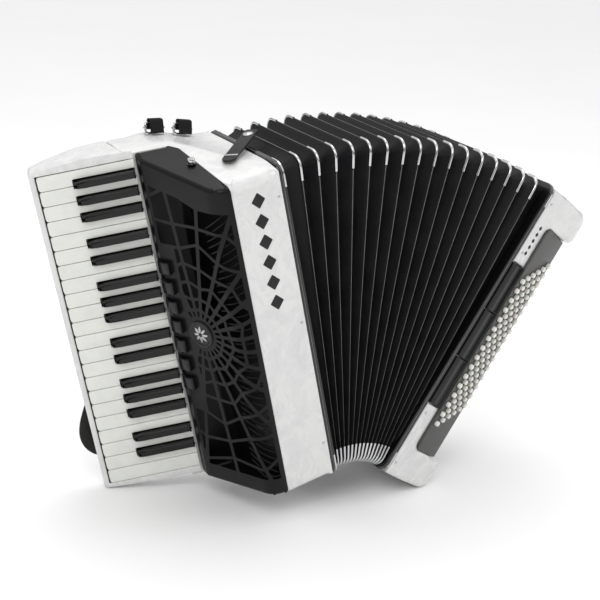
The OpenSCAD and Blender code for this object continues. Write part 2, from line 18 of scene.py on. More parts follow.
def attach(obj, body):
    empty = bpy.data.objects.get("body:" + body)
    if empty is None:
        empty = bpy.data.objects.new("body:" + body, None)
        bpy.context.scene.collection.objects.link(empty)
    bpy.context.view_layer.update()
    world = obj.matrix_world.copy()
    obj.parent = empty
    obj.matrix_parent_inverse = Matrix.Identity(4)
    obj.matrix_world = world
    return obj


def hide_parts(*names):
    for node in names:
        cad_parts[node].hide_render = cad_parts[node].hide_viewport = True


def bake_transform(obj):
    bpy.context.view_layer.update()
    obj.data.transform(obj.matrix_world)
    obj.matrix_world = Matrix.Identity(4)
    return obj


bl_info = {
    "name": "Piano accordion",
    "version": (1, 0, 0),
    "blender": (4, 5, 0),
    "location": "View3D > Sidebar > Accordion",
    "description": "Builds the visible pieces of an open piano accordion around its frame",
    "category": "Add Mesh",
}

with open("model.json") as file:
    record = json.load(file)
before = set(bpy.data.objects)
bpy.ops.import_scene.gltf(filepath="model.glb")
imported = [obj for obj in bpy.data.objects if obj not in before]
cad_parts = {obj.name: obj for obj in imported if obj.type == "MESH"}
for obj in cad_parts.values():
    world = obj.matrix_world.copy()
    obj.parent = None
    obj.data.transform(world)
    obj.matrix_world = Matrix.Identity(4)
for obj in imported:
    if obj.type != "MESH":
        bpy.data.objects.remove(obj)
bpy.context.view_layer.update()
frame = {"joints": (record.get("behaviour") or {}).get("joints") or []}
MM = 0.001

# ---------- The two cases' frames ----------

# Keyboard: the key frame's origin on the grille's lip, its tilt, and the axle in it
LIP = np.array([-137.0, 122.0])
KEY_TILT = math.radians(23)
KEYS_TOP = 454.5
KEY_PITCH = 19.8
WHITE_COUNT = 22
AXLE = (42.0, 8.0)
WHEEL = (66.0, 110.0, 432.0)
FAN_DROP = 95.0


def key_to_case(x, y):
    """Case x and y of a point at x along the key and y below the white tops."""
    c, s = math.cos(KEY_TILT), math.sin(KEY_TILT)
    return LIP[0] + x * c + y * s, LIP[1] - x * s + y * c


class Case:
    """One case's upright frame, found from a joint whose axis runs along the case."""

    def __init__(self, body, joint, up, at):
        data = next(j for j in frame["joints"] if j["name"] == joint)
        self.body = body
        self.z = np.array(data["axis"], float) * up
        self.y = np.array([0.0, 1.0, 0.0])
        self.x = np.cross(self.y, self.z)
        self.axes = np.stack([self.x, self.y, self.z])
        self.origin = np.array(data["pos_m"], float) - np.array(at) * MM @ self.axes
        self.turn = math.atan2(self.z[0], self.z[2])

    def place(self, points):
        """Case millimetres to row metres."""
        return np.asarray(points, float) * MM @ self.axes + self.origin


AXLE_XY = key_to_case(*AXLE)
TREBLE = Case("treble", "key_f3_press", -1, (*AXLE_XY, KEYS_TOP - KEY_PITCH / 2))
BASS = Case("bass", "strap_wheel_turn", 1, WHEEL)


def in_keys(points):
    """Points (x along the key, y below the white tops, z up) to treble case millimetres."""
    p = np.asarray(points, float)
    x, y = key_to_case(p[..., 0], p[..., 1])
    return np.stack([x, y, p[..., 2]], -1)


# ---------- Surfaces ----------


def smooth(t):
    """3t^2 - 2t^3 on 0..1, flat outside."""
    t = np.clip(t, 0, 1)
    return t * t * (3 - 2 * t)


def rounded(corners, radii, step=6.0, arc=6):
    """A closed outline through corners, each cut by a tangent arc of its radius, with points no
    further than step apart on the straight stretches. Corners run anticlockwise."""
    corners = np.asarray(corners, float)
    radii = np.broadcast_to(np.asarray(radii, float), len(corners))
    runs = []
    for p, before, after, r in zip(corners, np.roll(corners, 1, 0), np.roll(corners, -1, 0), radii):
        a, b = before - p, after - p
        a, b = a / np.linalg.norm(a), b / np.linalg.norm(b)
        half = math.acos(np.clip(a @ b, -1, 1)) / 2
        if r < 1e-6 or half > 1.56:
            runs.append(p[None])
            continue
        cut = r / math.tan(half)
        mid = p + (a + b) / np.linalg.norm(a + b) * r / math.sin(half)
        u, v = p + a * cut - mid, p + b * cut - mid
        full = math.pi - 2 * half
        t = np.linspace(0, 1, arc + 1)[:, None]
        runs.append(mid + (u * np.sin((1 - t) * full) + v * np.sin(t * full)) / math.sin(full))
    points = []
    for run, following in zip(runs, runs[1:] + runs[:1]):
        points.append(run)
        gap = following[0] - run[-1]
        count = int(np.linalg.norm(gap) // step)
        if count:
            points.append(run[-1] + gap * (np.arange(1, count + 1) / (count + 1))[:, None])
    return np.concatenate(points)


def inward(outline):
    """Unit normals into an anticlockwise closed outline, halfway between its two edges'."""
    edge = np.roll(outline, -1, 0) - outline
    edge = edge / np.maximum(np.linalg.norm(edge, axis=1, keepdims=True), 1e-9)
    left = np.stack([-edge[:, 1], edge[:, 0]], 1)
    mean = left + np.roll(left, 1, 0)
    size = np.maximum((mean ** 2).sum(1, keepdims=True) / 2, 0.35)
    return mean / size


def rings_to_mesh(rings, close_low=True, close_high=True):
    """Quads between closed rings of equal length, with a fan or face on the end rings."""
    rings = np.asarray(rings, float)
    count, size = rings.shape[:2]
    i, j = np.meshgrid(np.arange(count - 1), np.arange(size), indexing="ij")
    k = (j + 1) % size
    faces = np.stack([i * size + j, i * size + k, (i + 1) * size + k, (i + 1) * size + j], -1).reshape(-1, 4)
    faces = faces.tolist()
    if close_low:
        faces.append(list(range(size))[::-1])
    if close_high:
        faces.append(list(range((count - 1) * size, count * size)))
    return rings.reshape(-1, 3), faces


def cap(ring, height, step):
    """Points and faces that close a ring of (a, b) at height(a, b): one flat face, or with a
    step a net of that spacing for a curved height."""
    if not step:
        return np.column_stack([ring, height(ring[:, 0], ring[:, 1])]), [list(range(len(ring)))]
    low, high = ring.min(0), ring.max(0)
    a, b = np.meshgrid(*(np.arange(low[n] + step / 2, high[n], step) for n in (0, 1)))
    net = np.column_stack([a.ravel(), b.ravel()])
    following = np.roll(ring, -1, 0)
    crosses = (ring[:, 1] > net[:, 1:]) != (following[:, 1] > net[:, 1:])
    rise = np.where(following[:, 1] == ring[:, 1], 1e-9, following[:, 1] - ring[:, 1])
    at = ring[:, 0] + (net[:, 1:] - ring[:, 1]) / rise * (following[:, 0] - ring[:, 0])
    inside = (crosses & (net[:, :1] < at)).sum(1) % 2 == 1
    clear = np.sqrt(((net[:, None] - ring[None]) ** 2).sum(2)).min(1) > step * 0.45
    net = net[inside & clear]
    every = [Vector(p) for p in np.concatenate([ring, net])]
    count = len(ring)
    edges = [(i, (i + 1) % count) for i in range(count)]
    points, _, faces, _, _, _ = delaunay_2d_cdt(every, edges, [], 1, 1e-5)
    points = np.array([tuple(p) for p in points])
    return np.column_stack([points, height(points[:, 0], points[:, 1])]), [list(f) for f in faces]


def block(outline, low, high, r_low=1.0, r_high=1.0, lean=0.0, net_low=0, net_high=0, rim=4):
    """A closed solid over an outline in (a, b), from height low to height high, which may be
    functions of a and b. Its rims are quarter rounds of radius r_low and r_high, its sides lean
    in by lean towards the top, and a curved cap gets a net of the given spacing."""
    outline = np.asarray(outline, float)
    normal = inward(outline)
    top = outline + normal * np.broadcast_to(np.asarray(lean, float), len(outline))[:, None]
    low_at = low if callable(low) else lambda a, b: np.full(np.shape(a), float(low))
    high_at = high if callable(high) else lambda a, b: np.full(np.shape(a), float(high))
    r_low = np.broadcast_to(np.asarray(r_low, float), len(outline))
    r_high = np.broadcast_to(np.asarray(r_high, float), len(outline))

    def side(edge, radius, height, sign):
        made = []
        for angle in np.linspace(math.pi / 2, 0, rim + 1):
            p = edge + normal * (radius * (1 - math.cos(angle)))[:, None]
            drop = sign * radius * (1 - math.sin(angle))
            made.append(np.column_stack([p, height(p[:, 0], p[:, 1]) - drop]))
        return made

    rings = side(outline, r_low, low_at, -1) + side(top, r_high, high_at, 1)[::-1]
    points, faces = rings_to_mesh(rings, False, False)
    parts = [(points, faces)]
    parts.append(cap(outline + normal * r_low[:, None], low_at, net_low))
    parts.append(cap(top + normal * r_high[:, None], high_at, net_high))
    points, faces, _ = joined(parts)
    return points, faces


def box(low, high, r=0.6):
    """A box with rounded edges from low to high, in (a, b, height)."""
    outline = rounded([(low[0], low[1]), (high[0], low[1]), (high[0], high[1]), (low[0], high[1])], r, 40, 3)
    return block(outline, low[2], high[2], r, r, rim=3)


def lathe(profile, segments=24):
    """A profile of (radius, height) points turned about the height axis."""
    turn = np.linspace(0, 2 * math.pi, segments, endpoint=False)
    rings = [np.column_stack([r * np.cos(turn), r * np.sin(turn), np.full(segments, h)]) for r, h in profile]
    return rings_to_mesh(rings)


def swept(path, section, up, closed=False, ends=True):
    """A section of (side, up) points carried along a path. side is the path's direction
    crossed with up, which may be one vector or one for each point."""
    path = np.asarray(path, float)
    if closed:
        along = np.roll(path, -1, 0) - np.roll(path, 1, 0)
    else:
        along = np.gradient(path, axis=0)
    along = along / np.linalg.norm(along, axis=1, keepdims=True)
    up = np.broadcast_to(np.asarray(up, float), path.shape)
    side = np.cross(along, up)
    side = side / np.linalg.norm(side, axis=1, keepdims=True)
    over = np.cross(side, along)
    section = np.asarray(section, float)
    rings = path[:, None] + side[:, None] * section[None, :, :1] + over[:, None] * section[None, :, 1:]
    if closed:
        rings = np.concatenate([rings, rings[:1]])
    return rings_to_mesh(rings, ends and not closed, ends and not closed)


def circle(r, count=10):
    """A round section."""
    t = np.linspace(0, 2 * math.pi, count, endpoint=False)
    return np.column_stack([r * np.cos(t), r * np.sin(t)])


def knurled(part, over, depth, count):
    """A turned part whose rim, beyond the radius over, waves in by a share depth count times."""
    points, faces = part
    angle = np.arctan2(points[:, 1], points[:, 0])
    rim = np.hypot(points[:, 0], points[:, 1]) > over
    points[:, :2] *= np.where(rim, 1 - depth * (0.5 + 0.5 * np.cos(angle * count)), 1)[:, None]
    return points, faces


def shifted(part, move=(0, 0, 0), turn=None):
    """A part turned by a 3x3 matrix whose rows are its new axes, and moved."""
    points, faces = part
    if turn is not None:
        points = points @ np.asarray(turn, float)
    return points + np.asarray(move, float), faces


def joined(parts):
    """Several parts as one, with a list of each part's face count."""
    points, faces, base, counts = [], [], 0, []
    for p, f in parts:
        points.append(p)
        faces += [[n + base for n in face] for face in f]
        counts.append(len(f))
        base += len(p)
    return np.concatenate(points), faces, counts


def shade(mesh, crease):
    """Smooth faces, with edges sharper than crease degrees kept sharp."""
    mesh.polygons.foreach_set("use_smooth", np.ones(len(mesh.polygons), bool))
    mesh.set_sharp_from_angle(angle=math.radians(crease))


def make(name, parts, place, finishes, kinds=None, crease=38):
    """A mesh object from parts, each with a finish by its number in kinds, in the row frame."""
    points, faces, counts = joined(parts)
    mesh = bpy.data.meshes.new(name)
    mesh.from_pydata(place(points), [], faces)
    for finish in finishes:
        mesh.materials.append(finish)
    if kinds is not None:
        index = np.concatenate([np.broadcast_to(k, n) for k, n in zip(kinds, counts)]).astype(np.int32)
        mesh.polygons.foreach_set("material_index", index)
    work = bmesh.new()
    work.from_mesh(mesh)
    bmesh.ops.remove_doubles(work, verts=work.verts, dist=2e-6)
    bmesh.ops.recalc_face_normals(work, faces=work.faces)
    work.to_mesh(mesh)
    work.free()
    shade(mesh, crease)
    obj = bpy.data.objects.new(name, mesh)
    bpy.context.scene.collection.objects.link(obj)
    return obj


def settle(obj, body, slot, *nodes):
    """Rides on a body, takes a finish slot and stands for CAD nodes."""
    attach(obj, body)
    if nodes:
        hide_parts(*nodes)
    return obj


def cut(obj, cutter):
    """Takes the cutter's solids out of the object and drops the cutter."""
    step = obj.modifiers.new("cut", "BOOLEAN")
    step.operation, step.solver, step.object = "DIFFERENCE", "EXACT", cutter
    step.use_self = False
    graph = bpy.context.evaluated_depsgraph_get()
    done = bpy.data.meshes.new_from_object(obj.evaluated_get(graph))
    obj.modifiers.clear()
    old = obj.data
    obj.data = done
    bpy.data.meshes.remove(old)
    bpy.data.objects.remove(cutter)
    shade(done, 32)


# ---------- Finishes ----------


class Finish:
    """A Principled material with helpers for the nodes that vary over its surface."""

    def __init__(self, name, colour, roughness, **constant):
        self.material = bpy.data.materials.new(name)
        self.material.use_nodes = True
        self.nodes = self.material.node_tree.nodes
        self.links = self.material.node_tree.links
        self.shader = self.nodes["Principled BSDF"]
        self.shader.inputs["Base Color"].default_value = (*colour, 1)
        self.shader.inputs["Roughness"].default_value = roughness
        for key, value in constant.items():
            self.shader.inputs[key.replace("_", " ").title().replace("Ior", "IOR")].default_value = value
        self.place = self.nodes.new("ShaderNodeTexCoord").outputs["Object"]
        self.height = None

    def node(self, kind, inputs=None, **settings):
        node = self.nodes.new(kind)
        for key, value in settings.items():
            setattr(node, key, value)
        for key, value in (inputs or {}).items():
            if isinstance(value, bpy.types.NodeSocket):
                self.links.new(value, node.inputs[key])
            else:
                node.inputs[key].default_value = value
        return node

    def noise(self, scale, detail=4.0, rough=0.55, distortion=0.0, at=None):
        node = self.node("ShaderNodeTexNoise", {"Vector": at or self.place, "Scale": scale, "Detail": detail,
                                                "Roughness": rough, "Distortion": distortion})
        return node.outputs["Fac"]

    def ramp(self, fac, stops):
        """Colours or greys along a factor, as (position, value) pairs."""
        node = self.node("ShaderNodeValToRGB", {"Fac": fac})
        band = node.color_ramp
        while len(band.elements) < len(stops):
            band.elements.new(0.5)
        for element, (position, value) in zip(band.elements, stops):
            element.position = position
            element.color = (*value, 1) if hasattr(value, "__len__") else (value, value, value, 1)
        return node.outputs["Color"]

    def colour(self, socket):
        self.links.new(socket, self.shader.inputs["Base Color"])

    def rough(self, fac, low, high):
        node = self.node("ShaderNodeMapRange", {"Value": fac, "To Min": low, "To Max": high})
        self.links.new(node.outputs["Result"], self.shader.inputs["Roughness"])

    def bump(self, fac, distance, strength=1.0):
        node = self.node("ShaderNodeBump", {"Height": fac, "Distance": distance, "Strength": strength})
        if self.height is not None:
            self.links.new(self.height, node.inputs["Normal"])
        self.height = node.outputs["Normal"]
        self.links.new(self.height, self.shader.inputs["Normal"])


def pearl_celluloid(pale, deep):
    """White pearl: pale clouds drawn out along the sheet, with fine flecks, under a clear coat."""
    f = Finish("pearl_celluloid", (0.82, 0.82, 0.81), 0.26, coat_weight=0.4, coat_roughness=0.08)
    drawn = f.node("ShaderNodeMapping", {"Vector": f.place, "Scale": (1.0, 1.5, 0.8)}).outputs["Vector"]
    clouds = f.noise(30, 5, 0.6, 1.3, drawn)
    flecks = f.node("ShaderNodeTexVoronoi", {"Vector": drawn, "Scale": 170.0}).outputs["Distance"]
    mix = f.node("ShaderNodeMix", {"Factor": 0.14}, data_type="FLOAT")
    f.links.new(clouds, mix.inputs[2])
    f.links.new(flecks, mix.inputs[3])
    f.colour(f.ramp(mix.outputs[0], [(0.3, deep), (0.46, (0.66, 0.665, 0.66)), (0.62, pale)]))
    f.rough(clouds, 0.2, 0.34)
    return f.material


def ivory_plastic(colour):
    """Warm white key tops and buttons, lightly worn."""
    f = Finish("key_ivory", colour, 0.2, coat_weight=0.35, coat_roughness=0.06, subsurface_weight=0.05)
    wear = f.noise(60, 5)
    f.colour(f.ramp(wear, [(0.3, [c * 0.95 for c in colour]), (0.7, [min(1, c * 1.03) for c in colour])]))
    f.rough(wear, 0.16, 0.3)
    f.bump(f.noise(900, 2), 0.00002)
    return f.material


def black_gloss(name, colour, low, high, **constant):
    """Black lacquer or polished plastic with faint handling marks."""
    f = Finish(name, colour, low, coat_weight=0.15, coat_roughness=0.05, **constant)
    f.rough(f.noise(40, 3, 0.5), low, high)
    return f.material


def satin_black():
    """The grille's cover: satin black paint with a fine even grain."""
    f = Finish("grille_satin", (0.005, 0.005, 0.0055), 0.3, specular_ior_level=0.2)
    f.rough(f.noise(60, 3), 0.27, 0.35)
    f.bump(f.noise(1500, 3), 0.00001)
    return f.material


def grille_cloth():
    """Black speaker cloth of crossed threads."""
    f = Finish("grille_cloth", (0.012, 0.012, 0.012), 0.85)
    a = f.node("ShaderNodeTexWave", {"Vector": f.place, "Scale": 520.0}, bands_direction="Z").outputs["Fac"]
    b = f.node("ShaderNodeTexWave", {"Vector": f.place, "Scale": 520.0}, bands_direction="Y").outputs["Fac"]
    both = f.node("ShaderNodeMath", {0: a, 1: b}, operation="MULTIPLY").outputs[0]
    f.colour(f.ramp(both, [(0.0, (0.004, 0.004, 0.004)), (1.0, (0.035, 0.035, 0.034))]))
    f.bump(both, 0.0002)
    return f.material


def chrome(name, colour, low, high):
    """Plated metal with faint swirls."""
    f = Finish(name, colour, low, metallic=1.0)
    f.rough(f.noise(150, 5), low, high)
    f.bump(f.noise(400, 2), 0.00001)
    return f.material


def bellows_cloth():
    """Black bellows cloth over card: a fine weave with soft dusting."""
    f = Finish("bellows_cloth", (0.006, 0.006, 0.007), 0.5, specular_ior_level=0.22)
    dust = f.noise(35, 6, 0.65)
    f.colour(f.ramp(dust, [(0.3, (0.004, 0.004, 0.005)), (0.75, (0.010, 0.010, 0.011))]))
    f.rough(dust, 0.4, 0.6)
    f.bump(f.noise(1400, 2), 0.00004)
    f.bump(f.noise(60, 3), 0.0002)
    return f.material


def bellows_tape():
    """Pale cloth tape along the outer folds."""
    f = Finish("bellows_tape", (0.4, 0.4, 0.39), 0.5)
    f.colour(f.ramp(f.noise(220, 4), [(0.3, (0.11, 0.11, 0.11)), (0.7, (0.2, 0.2, 0.2))]))
    f.bump(f.noise(1300, 2), 0.00006)
    return f.material


def black_leather():
    """Grained black leather with a dull shine on its raised parts."""
    f = Finish("black_leather", (0.01, 0.0095, 0.009), 0.5, specular_ior_level=0.3)
    grain = f.node("ShaderNodeTexVoronoi", {"Vector": f.place, "Scale": 620.0}).outputs["Distance"]
    f.colour(f.ramp(f.noise(70, 5), [(0.3, (0.006, 0.006, 0.0055)), (0.7, (0.016, 0.015, 0.014))]))
    f.rough(grain, 0.36, 0.6)
    f.bump(grain, 0.00025)
    f.bump(f.noise(160, 3), 0.0003)
    return f.material


def webbing():
    """Woven black strap: ribs across its width."""
    f = Finish("black_webbing", (0.008, 0.008, 0.0085), 0.8, specular_ior_level=0.2)
    rib = f.node("ShaderNodeTexWave", {"Vector": f.place, "Scale": 330.0, "Distortion": 0.6},
                 bands_direction="Z").outputs["Fac"]
    f.colour(f.ramp(rib, [(0.0, (0.003, 0.003, 0.003)), (1.0, (0.016, 0.016, 0.0165))]))
    f.bump(rib, 0.0003)
    return f.material


def button_plate():
    """Dark grey satin plate under the bass buttons."""
    f = Finish("plate_grey", (0.05, 0.05, 0.048), 0.42, specular_ior_level=0.3)
    tone = f.noise(80, 5)
    f.colour(f.ramp(tone, [(0.3, (0.045, 0.044, 0.043)), (0.7, (0.062, 0.06, 0.058))]))
    f.rough(tone, 0.36, 0.5)
    f.bump(f.noise(1200, 2), 0.00004)
    return f.material


def inlay():
    """Dark enamel of the ornaments."""
    f = Finish("inlay_dark", (0.012, 0.012, 0.013), 0.3, specular_ior_level=0.3)
    f.rough(f.noise(200, 4), 0.24, 0.4)
    return f.material


def floor_paint():
    """Plain pale floor."""
    f = Finish("studio_floor", (0.9, 0.9, 0.9), 0.6)
    f.colour(f.ramp(f.noise(3, 3), [(0.3, (0.96, 0.96, 0.96)), (0.7, (0.98, 0.98, 0.98))]))
    return f.material


MAKERS = {
    "pearl": lambda c: pearl_celluloid(c.pearl_pale, c.pearl_deep),
    "ivory": lambda c: ivory_plastic(c.ivory),
    "gloss": lambda c: black_gloss("black_gloss", c.lacquer, 0.12, 0.24),
    "register": lambda c: black_gloss("register_black", (0.004, 0.004, 0.005), 0.14, 0.22,
                                      specular_ior_level=0.25),
    "key_black": lambda c: black_gloss("key_black", (0.004, 0.004, 0.004), 0.2, 0.26,
                                       specular_ior_level=0.25),
    "wood": lambda c: black_gloss("key_wood", (0.10, 0.085, 0.07), 0.6, 0.7),
    "dark": lambda c: black_gloss("seam_dark", (0.006, 0.006, 0.006), 0.6, 0.8),
    "chrome": lambda c: chrome("chrome", c.metal, 0.06, 0.16),
    "steel": lambda c: chrome("brushed_steel", (0.5, 0.5, 0.5), 0.25, 0.4),
    "satin": lambda c: satin_black(), "cloth": lambda c: grille_cloth(),
    "bellows": lambda c: bellows_cloth(), "tape": lambda c: bellows_tape(),
    "leather": lambda c: black_leather(), "webbing": lambda c: webbing(),
    "plate": lambda c: button_plate(), "inlay": lambda c: inlay(), "floor": lambda c: floor_paint(),
}
made_finishes = {}


def finish(name):
    """The named finish, made once from the scene's colours."""
    if name not in made_finishes:
        made_finishes[name] = MAKERS[name](bpy.context.scene.accordion_colours)
    return made_finishes[name]


# ---------- Treble case ----------

EDGE_X, BAND_X = -9.0, -75.0
CASE_D = 184.0
CASE_LOW, CASE_HIGH, FRONT_HIGH, KEYBOARD_HIGH = 3.0, 434.0, 428.0, 462.0
KEYBOARD_LOW = 11.0
FRONT_SLOPE = 0.25
SWELL_END = -109.0
ARCH, ARCH_START, ARCH_LENGTH = 6.5, -118.0, 140.0


def swell(x):
    """Upper edge seen from the front: it rises from the bellows to the keyboard, then arches
    over the keys."""
    arch = ARCH * np.sin(math.pi * np.clip((ARCH_START - np.asarray(x, float)) / ARCH_LENGTH, 0, 1))
    return CASE_HIGH + (KEYBOARD_HIGH - CASE_HIGH) * smooth((x - EDGE_X) / (SWELL_END - EDGE_X)) + arch


def case_top(x, y):
    """The lower of the swell and the slope that rises from the front, blended over 4 mm."""
    a, b = swell(x), FRONT_HIGH + FRONT_SLOPE * y
    h = np.clip(0.5 + (b - a) / 8, 0, 1)
    return b + (a - b) * h - 4 * h * (1 - h)


def build_treble_case(context):
    """Shell over a plan in (x, y), closed above by case_top."""
    plan = [(EDGE_X, 0), (EDGE_X, CASE_D), (-145.9, CASE_D), (-145.9, 131), (-133.5, 127.5),
            (-91.9, 117.4), (-83.7, 105.2), (BAND_X, 0)]
    outline = rounded(plan, [0, 8, 0, 0, 0, 5, 5, 0], 7, 5)
    front = np.clip(1 - outline[:, 1] / 12, 0, 1)
    bellows_side = outline[:, 0] > EDGE_X - 0.5
    radius = np.where(bellows_side | (front <= 0), 1.0, 14.0 * front)
    radius = np.where(outline[:, 1] > CASE_D - 4, 6.0, radius)
    shell = block(outline, CASE_LOW, case_top, np.minimum(radius, 8), radius, net_high=6, rim=7)
    obj = make("treble_shell", [shell], TREBLE.place, [finish("pearl")])
    settle(obj, "treble", "pearl_celluloid", "treble_case", "treble_reed_blocks", "key_axle")


def build_keyboard_frame(context):
    """Two cheeks over one plan, with a rail, bed and back cover carried between them."""
    back = key_to_case(-129, 21.4)
    cheek = [key_to_case(-0.8, 0.5), (-146, 131), (-146, CASE_D), back, key_to_case(-129, 4),
             key_to_case(-126, 0.5)]
    cheek = rounded(cheek[::-1], [3, 6, 6, 0, 0, 0], 8, 5)
    if np.cross(cheek[1] - cheek[0], cheek[2] - cheek[1]).sum() < 0:
        cheek = cheek[::-1]
    low, high = KEYS_TOP - WHITE_COUNT * KEY_PITCH - 0.6, KEYS_TOP + 0.6
    edge = np.where(cheek[:, 0] < -200, 5.5, np.where(cheek[:, 0] < -145, 3.2, 1.0))

    def underside(x, y):
        return KEYBOARD_LOW - 0.5 * (swell(x) - KEYBOARD_HIGH)

    parts = [block(cheek, underside, low, edge, 0.8, net_low=8),
             block(cheek, high, lambda x, y: swell(x), 0.8, edge, net_high=8, rim=6)]
    rail = [key_to_case(-128.4, 1.2), key_to_case(-128.4, 21), (-146.3, 183.5), (-146.3, 180),
            key_to_case(-115, 21), key_to_case(-5, 20.5), key_to_case(-5, 17.2),
            key_to_case(-121.5, 17.2), key_to_case(-121.5, 1.2)]
    rail = rounded(rail[::-1], [1.2, 0, 0, 0, 0, 0, 0, 0, 1.2], 200, 3)
    rings = [np.column_stack([rail, np.full(len(rail), z)]) for z in (low - 1, high + 1)]
    parts.append(rings_to_mesh(rings))
    obj = make("keyboard_body", parts, TREBLE.place, [finish("pearl")])
    settle(obj, "treble", "pearl_celluloid", "keyboard_frame")
    felt = box((-121.4, low + 0.2, -16.9), (-120.5, high - 0.2, -2.2), 0.2)
    obj = make("key_front_felt", [felt], down_keys, [finish("dark")])
    settle(obj, "treble", "black_satin")


# ---------- Keys ----------

BLACK_SHIFT = [2.4, 0, -2.4, 0, 1.9, -1.9, 0]
HAS_BLACK = [True, True, True, False, True, True, False]
WHITE_LEN, BLACK_LEN, BLACK_RISE = 120.0, 77.0, 8.5
NOTES = "fgabcde"


def white_edge(k):
    """Height of the upper edge of white key k."""
    return KEYS_TOP - k * KEY_PITCH


def black_middle(k):
    """Height of the middle of the black key under white key k."""
    return white_edge(k + 1) + BLACK_SHIFT[k % 7]


def black_under(k):
    """Whether a black key lies between white key k and the next."""
    return 0 <= k < WHITE_COUNT - 1 and HAS_BLACK[k % 7]


def note_name(k, sharp=False):
    """The CAD name of a key, from its letter and octave."""
    letter = NOTES[k % 7]
    octave = 3 + (k + 3) // 7
    return f"key_{letter}{'s' if sharp else ''}{octave}"


def down_keys(points):
    """Block coordinates (x along the key, z, height over the white tops) to row metres."""
    p = np.asarray(points, float)
    return TREBLE.place(in_keys(np.stack([p[..., 0], -p[..., 2], p[..., 1]], -1)))


def build_white_key(k):
    """A notched top over a plain wooden body, both an outline carried up."""
    high, low = white_edge(k) - 0.4, white_edge(k + 1) + 0.4
    notch_high = black_middle(k - 1) - 6.3 if black_under(k - 1) else high
    notch_low = black_middle(k) + 6.3 if black_under(k) else low
    notch = -BLACK_LEN - 0.9
    corners, radii = [(-WHITE_LEN, high), (-WHITE_LEN, low)], [3.2, 3.2]
    if notch_low > low:
        corners += [(notch, low), (notch, notch_low)]
        radii += [0.8, 0.8]
    corners += [(-0.7, notch_low), (-0.7, notch_high)]
    radii += [0, 0]
    if notch_high < high:
        corners += [(notch, notch_high), (notch, high)]
        radii += [0.8, 0.8]
    outline = rounded(corners, radii, 16, 3)
    radius = np.where(outline[:, 0] < 1.2 - WHITE_LEN, 2.2, 0.55)
    top = block(outline, -2.6, 0, 0.3, radius)
    body = outline + inward(outline) * 0.25
    body[:, 0] = np.maximum(body[:, 0], 1.0 - WHITE_LEN)
    wood = rings_to_mesh([np.column_stack([body, np.full(len(body), z)]) for z in (-11.8, -2.7)])
    obj = make(note_name(k) + "_top", [top, wood], down_keys, [finish("ivory"), finish("wood")], [0, 1])
    settle(obj, note_name(k), "ivory_plastic", note_name(k))


def build_black_key(k):
    """An outline carried up with sides that lean in, most at the front."""
    z = black_middle(k)
    outline = rounded([(-BLACK_LEN, z + 5.5), (-BLACK_LEN, z - 5.5), (-1.4, z - 5.5), (-1.4, z + 5.5)],
                      [1, 1, 0.2, 0.2], 12, 3)
    front = np.clip(1 - (outline[:, 0] + BLACK_LEN) / 1.5, 0, 1)
    lean = 0.9 + 3.6 * front
    key = block(outline, -11.8, BLACK_RISE, 0.3, 1.1 + 0.5 * front, lean, rim=5)
    obj = make(note_name(k, True) + "_top", [key], down_keys, [finish("key_black")])
    settle(obj, note_name(k, True), "black_key", note_name(k, True))


def build_keys(context):
    """White keys from the high end down, each with the black key below it."""
    for k in range(WHITE_COUNT):
        build_white_key(k)
        if black_under(k):
            build_black_key(k)


# ---------- Grille ----------

GRILLE_LOW, GRILLE_FRONT, ROLL_R = 6.0, -1.0, 24.0
RIDGE, LIP_EDGE, LIP_END = np.array([-104.0, 22.0]), LIP + [1, -14], LIP + [1.5, -3]
SLANT = (LIP_EDGE - RIDGE) / np.linalg.norm(LIP_EDGE - RIDGE)
SLANT_OUT = np.array([-SLANT[1], SLANT[0]])
ROLL = np.array([(SLANT_OUT @ RIDGE - ROLL_R - SLANT_OUT[1] * (GRILLE_FRONT + ROLL_R)) / SLANT_OUT[0],
                 GRILLE_FRONT + ROLL_R])
ROLL_END = math.atan2(SLANT_OUT[1], SLANT_OUT[0]) % (2 * math.pi)
BADGE = np.array([-121.0, 66.0])
BADGE_Z = 228.0
REGISTER_Z, REGISTER_PITCH, REGISTER_COUNT = 152.0, 27.1, 7
ROLL_LENGTH = ROLL_R * (1.5 * math.pi - ROLL_END)
BADGE_S = (BADGE - ROLL - ROLL_R * SLANT_OUT) @ SLANT


def over_grille(s, z, out):
    """A point of the grille's skin: s runs from where the slanted face leaves the roll, up
    towards the lip, and below 0 round the roll to the front. out is the height off the skin."""
    s, z, out = np.broadcast_arrays(np.asarray(s, float), z, out)
    angle = ROLL_END - np.clip(s, -ROLL_LENGTH, 0) / ROLL_R
    normal = np.stack([np.cos(angle), np.sin(angle)], -1)
    base = ROLL + ROLL_R * normal + SLANT * np.maximum(s, 0)[..., None]
    base[..., 0] -= np.minimum(s + ROLL_LENGTH, 0)
    point = base + normal * out[..., None]
    return np.concatenate([point, z[..., None]], -1)


def window(outline, depth=3.4):
    """A cutter through the grille's skin over an outline in (s, z)."""
    rings = [over_grille(outline[:, 0], outline[:, 1], out) for out in (-depth, 4.0)]
    return rings_to_mesh(rings)


def polar(radius, angle):
    """(s, z) of a point at an angle round the badge. 0 points to the front, 90 up."""
    a = math.radians(angle)
    return BADGE_S - radius * math.cos(a), BADGE_Z + radius * math.sin(a)


def kept(polygon, normal, offset):
    """The part of a convex polygon where normal . point <= offset."""
    out = []
    for p, q in zip(polygon, polygon[1:] + polygon[:1]):
        a, b = np.dot(normal, p) - offset, np.dot(normal, q) - offset
        if a <= 0:
            out.append(p)
        if a * b < 0:
            out.append(tuple(np.add(p, np.subtract(q, p) * a / (a - b))))
    return out


def area(polygon):
    """Signed area of a polygon in (s, z), by the shoelace sum."""
    p = np.asarray(polygon)
    q = np.roll(p, -1, 0)
    return (p[:, 0] * q[:, 1] - q[:, 0] * p[:, 1]).sum() / 2


